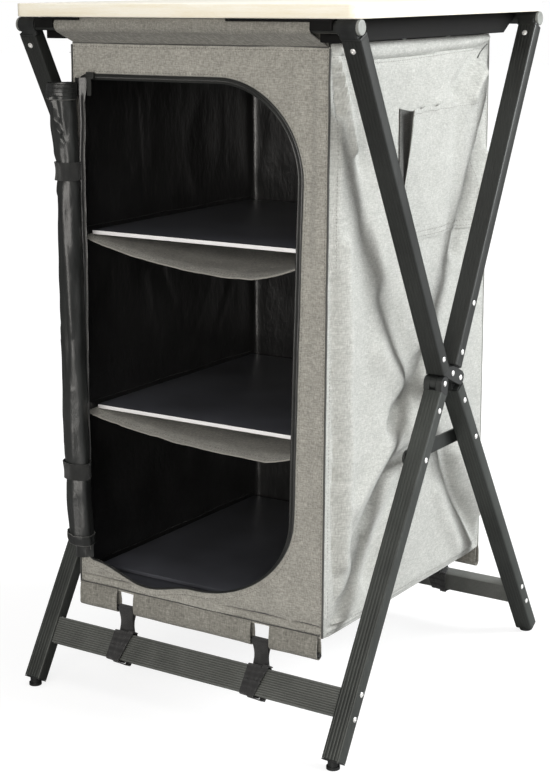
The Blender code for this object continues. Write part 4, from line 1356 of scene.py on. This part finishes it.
def doorPoint(angle, reach, v, out=0.0):
    # angle 0 points to +X and turns towards the front; reach 1 is the outside
    z = door["high"] + (door["low"] - door["high"]) * v
    size, shift = doorRing(v)
    x0 = door["centre"] + door["radius"] * shift
    deep = door["radius"] * size * door["flat"]
    y0 = frontFace(z) - 0.0032 - deep
    radius = door["radius"] * size * reach
    frontShare = max(0.0, sin(angle)) * reach
    x = x0 + radius * cos(angle)
    flute = (softNoise(cos(angle) * 0.02, sin(angle) * 0.02, z * 0.09, 95) * 0.0020
             + softNoise(cos(angle) * 0.02, sin(angle) * 0.02, z * 0.4, 75) * 0.0012)
    pinch = -0.0009 * (exp(-((z - 0.67) / 0.016) ** 2) + exp(-((z - 0.294) / 0.016) ** 2))
    relief = foldsAt(x, z, doorFolds) * frontShare * door["relief"]
    grow = 1 + (out + flute * reach + pinch * reach + relief) / max(radius, 0.002)
    return Vector((x0 + radius * cos(angle) * grow, y0 - radius * sin(angle) * door["flat"] * grow, z))


def doorSheet(u, v):
    turn = -1.9 + door["turns"] * 2 * pi * (1 - u)
    reach = door["core"] + (1 - door["core"]) * u ** 0.85
    return doorPoint(turn, reach, v)


roll = gridSheet("door_roll", 176, 190, doorSheet, (0.34, 0.6))
thickened(roll, 0.0006)
dress(roll, doorCloth, cabinet, "door_black", "rolled_door", angle=60)


def roundDoor(angle, z, out, gap):
    share = (door["high"] - z) / (door["high"] - door["low"])
    spot = doorPoint(angle, 1.0, max(0.0, min(1.0, share)), out)
    return Vector((spot.x, min(spot.y, frontFace(z) - gap), z))


def doorBand(name, low, high, out, thickness, finish, slot, slant=0.0):
    # A closed band round the roll; slant drops its right side
    def place(u, v):
        angle = 2 * pi * u
        lift = out + softNoise(cos(angle), sin(angle), v, 2) * 0.0004
        return roundDoor(angle, low + (high - low) * v - slant * cos(angle), lift, 0.0012)

    piece = thickened(wrapped(name, 64, 8, place, (0.11, high - low)), thickness)
    return dress(piece, finish, cabinet, slot)


doorBand("door_tie_upper", 0.6595, 0.6815, 0.0016, 0.0012, tieCloth, "webbing")
doorBand("door_tie_lower", 0.2835, 0.3045, 0.0016, 0.0012, tieCloth, "webbing", 0.001)
doorBand("door_top_band", 0.7575, 0.7765, 0.0008, 0.0008, doorCloth, "door_black", 0.0006)
doorBand("door_bottom_band", 0.1985, 0.2115, 0.0007, 0.0008, doorCloth, "door_black", 0.0022)


def bandWelt(name, z, slant, out, radius, finish):
    angles = [2 * pi * step / 72 for step in range(72)]
    points = [roundDoor(angle, z - slant * cos(angle), out, 0.0018) for angle in angles]
    return seam(name, points, radius, finish, "door_black", closed=True)


for number, level in enumerate((0.7758, 0.7712, 0.7666, 0.7620)):
    bandWelt(f"door_top_welt_{number + 1}", level, 0.0006, 0.0012, 0.0005, trimCloth)
bandWelt("door_top_edge", 0.7576, 0.0006, 0.0012, 0.0004, lightThread)
bandWelt("door_bottom_edge", 0.2117, 0.0022, 0.0011, 0.0004, lightThread)
bandWelt("door_bottom_rim", 0.1985, 0.0022, 0.0008, 0.0004, lightThread)


def doorFlap(u, v):
    # The loose lower corner of the door's edge
    low = Vector((-0.1892 + 0.0302 * u, 0.1706 + 0.0056 * u))
    high = Vector((-0.187 + 0.029 * u, 0.201))
    spot = high.lerp(low, v)
    wave = 0.004 * sin(pi * u) + 0.002 * sin(pi * v) * sin(7 * u)
    return Vector((spot.x, frontFace(spot.y) - 0.0045 - wave, spot.y))


flap = thickened(gridSheet("door_flap", 16, 14, doorFlap, (0.03, 0.028)), 0.0008)
dress(flap, doorCloth, cabinet, "door_black")

# The door's fixed edge: a tape beside the roll with two raised lines


def edgeTape(u, v):
    z = 0.7825 - (0.7825 - 0.185) * v
    wave = softNoise(1.1, 0.3, z, 26) * 0.0012
    widen = between(0.755, 0.772, z)
    x = -0.1695 - 0.006 * widen + (0.0072 + 0.009 * widen) * u + wave
    out = 0.0042 + 0.0065 * sin(pi * min(1.0, (1 - u) * 0.9 + 0.1)) * (1 - u) + 0.0015 * (1 - u)
    return frontPoint(x, z, out)


edge = gridSheet("door_edge_tape", 10, 136, edgeTape, (0.009, 0.6))
thickened(edge, 0.0008)
dress(edge, lining, cabinet, "door_black")
for number, u in enumerate((0.12, 0.86)):
    points = [edgeTape(u, 0.045 + 0.955 * step / 120) + Vector((0, -0.0006, 0)) for step in range(121)]
    seam(f"door_edge_welt_{number + 1}", points, 0.00042, lightThread, "door_black")
print("door done")


# Straps from the hem rods to the crossbars, and the cuffs round the crossbars

strap = {"width": 0.023, "waist": 0.019, "thickness": 0.0013, "rodRadius": 0.0047, "crown": 0.0201}
strapPlaces = {-1: (-0.11, 0.097), 1: (-0.11, 0.11)}


def strapLoop(name, facing, x, stands):
    rod = Vector((frontFace(body["hem"]) + 0.001 if facing < 0 else body["back"] - 0.001, 0.1125))
    middle, up = crossbarPlace(facing)
    seat = middle + up * strap["crown"]
    side = Vector((-up.y, up.x)) * (1 if up.y > 0 else -1)
    path = []
    count = 30
    for step in range(count + 1):
        share = step / count
        if share < 0.3:
            part = share / 0.3
            start, end = seat + side * 0.0014, rod + side * strap["rodRadius"]
            path.append(start.lerp(end, part) - side * 0.0012 * sin(pi * part))
        elif share <= 0.7:
            angle = (share - 0.3) / 0.4 * pi
            path.append(rod + side * strap["rodRadius"] * cos(angle) + up * strap["rodRadius"] * sin(angle))
        else:
            part = (share - 0.7) / 0.3
            start, end = rod - side * strap["rodRadius"], seat - side * 0.0014
            path.append(start.lerp(end, part) + side * 0.0012 * sin(pi * part))

    def place(u, v):
        index = min(count - 1, int(v * count))
        spot = path[index].lerp(path[index + 1], v * count - index)
        fall = min(1.0, max(0.0, (spot - rod).dot(-up) / max(0.001, (seat - rod).length)))
        width = strap["width"] - (strap["width"] - strap["waist"]) * sin(pi * fall) ** 1.5
        curl = (u - 0.5) ** 2 * 0.0022 * sin(pi * fall)
        return Vector((x + width * (u - 0.5) + 0.0012 * fall, spot.x + curl, spot.y))

    piece = gridSheet(name, 12, 60, place, (strap["width"], 0.085))
    thickened(piece, strap["thickness"])
    return dress(piece, strapCloth, cabinet, "webbing", stands)


def cuff(name, facing, end, x, width, skew, proud, thickness, *stands):
    middle, up = crossbarPlace(facing)
    side = Vector((-up.y, up.x))
    halfHigh, halfDeep, squareness = crossbar["height"] / 2 + proud, crossbar["depth"] / 2 + proud, 0.22

    def place(u, v):
        c, s = cos(2 * pi * v), sin(2 * pi * v)
        deep = halfDeep * copysign(abs(c) ** squareness, c)
        high = halfHigh * copysign(abs(s) ** squareness, s)
        ripple = softNoise(u * 2, c, s, 2.4) * 0.0006
        spot = middle + side * (deep + copysign(ripple, deep)) + up * (high + copysign(ripple, high))
        lean = skew * high / halfHigh * (1 if deep * side.x < 0 else -0.4)
        return Vector((x + width * (u - 0.5) + lean, spot.x, spot.y))

    piece = thickened(wrapped(name, 14, 72, place, (width, 0.105)), thickness)
    return dress(piece, strapCloth, f"lower_{end}_frame", "webbing", *stands)


for facing, end in endNames:
    for label, x in zip(("left", "right"), strapPlaces[facing]):
        loop = strapLoop(f"{end}_strap_loop_{label}", facing, x, f"{end}_strap_{label}")
        cuff(f"{end}_cuff_wrap_{label}", facing, end, x - 0.0035, 0.0195, 0.0006, 0.0012, 0.0014,
             f"{end}_cuff_{label}")
        cuff(f"{end}_cuff_tail_{label}", facing, end, x + 0.0085, 0.0085, 0.0052, 0.0032, 0.0012)
        if facing > 0:
            collapses(loop)

rearRod = added("rear_rod", bpy.ops.mesh.primitive_cylinder_add, vertices=28, radius=0.0032, depth=0.362,
                location=(0, body["back"] - 0.001, 0.1125), rotation=(0, pi / 2, 0))
bevelled(rearRod, lambda middle, way: abs(middle.x) > 0.1809, 0.0006)
collapses(dress(rearRod, rodMetal, cabinet, "anodised", "rear_hem_rod"))
print("straps and cuffs done")


# Floor, light and camera

light = {"sky": 0.15, "background": 1.0, "farGlow": 1.0, "nearGlow": 0.83}
ground = added("ground", bpy.ops.mesh.primitive_plane_add, size=30, location=(0, 0, -0.0005))
paint = Paint("pale_floor", Roughness=0.95, Specular_IOR_Level=0.1)
x, y, z = paint.spot()
ground.data.materials.append(paint.gives(Base_Color=paint.ramp(
    paint.noise(x * 3, y * 3, z, 3.0), (0.3, (134.41, 134.41, 134.41)), (0.7, (141.88, 141.88, 141.88)))))
seen = paint.node("ShaderNodeLightPath", {}, {})        # 1 on a camera ray
away = paint.node("ShaderNodeMapRange", {"interpolation_type": "SMOOTHSTEP"},
                  {"Value": paint.sum("SQRT", x * x + y * y, 0.0), "From Min": 0.4, "From Max": 1.5,
                   "To Min": light["nearGlow"], "To Max": light["farGlow"]})
glow = paint.node("ShaderNodeEmission", {}, {0: (1, 1, 1, 1), 1: seen * away})
plain = Wire(paint, paint.tree.nodes["Principled BSDF"].outputs[0])
paint.feed(paint.tree.nodes["Material Output"].inputs[0],
           paint.node("ShaderNodeAddShader", {}, {0: plain, 1: glow}))

world = bpy.context.scene.world = bpy.data.worlds.new("studio")
paint = Paint("studio", world)
seen = paint.node("ShaderNodeLightPath", {}, {})
background = paint.tree.nodes["Background"].inputs
paint.feed(background["Color"], (1, 1, 1, 1))
paint.feed(background["Strength"], seen * (light["background"] - light["sky"]) + light["sky"])

lamps = ({"name": "key", "place": (2.75, 1.1, 1.9), "size": 1.5, "power": 168, "tint": (0.975, 0.99, 1.0)},
         {"name": "fill", "place": (1.0, -3.25, 1.0), "size": 2.2, "power": 88, "tint": (1.0, 0.965, 0.92)},
         {"name": "over", "place": (0.2, 0.2, 3.4), "size": 3.0, "power": 66, "tint": (1.0, 1.0, 1.0)},
         {"name": "rim", "place": (2.7, 2.4, 1.0), "size": 1.6, "power": 20, "tint": (1.0, 1.0, 1.0)})
for lamp in lamps:
    bpy.ops.object.select_all(action="DESELECT")
    bpy.ops.object.light_add(type="AREA", location=lamp["place"])
    item = bpy.context.object
    item.name = lamp["name"]
    item.data.size, item.data.energy, item.data.color = lamp["size"], lamp["power"], lamp["tint"]
    aim = Vector((0, 0, 0.45)) - Vector(lamp["place"])
    item.rotation_euler = aim.to_track_quat("-Z", "Y").to_euler()

view = {"place": (1.18669, -1.82616, 0.89522), "forward": (-0.53653, 0.81104, -0.23313), "roll": -0.007,
        "lens": 78.79}
bpy.ops.object.select_all(action="DESELECT")
bpy.ops.object.camera_add(location=view["place"])
camera = bpy.context.object
c, s = cos(view["roll"]), sin(view["roll"])
ahead = Vector(view["forward"]).normalized()
right = ahead.cross(Vector((0, 0, 1))).normalized()
up = right.cross(ahead)
turned = Matrix((right * c + up * s, up * c - right * s, -ahead)).transposed().to_4x4()
camera.matrix_world = Matrix.Translation(view["place"]) @ turned
camera.data.lens, camera.data.sensor_width, camera.data.sensor_fit = view["lens"], 36, "AUTO"
camera.data.clip_start, camera.data.clip_end = 0.05, 100
bpy.context.scene.camera = camera
bpy.context.scene.view_settings.view_transform = "Standard"
print("stage, lamps and camera done")
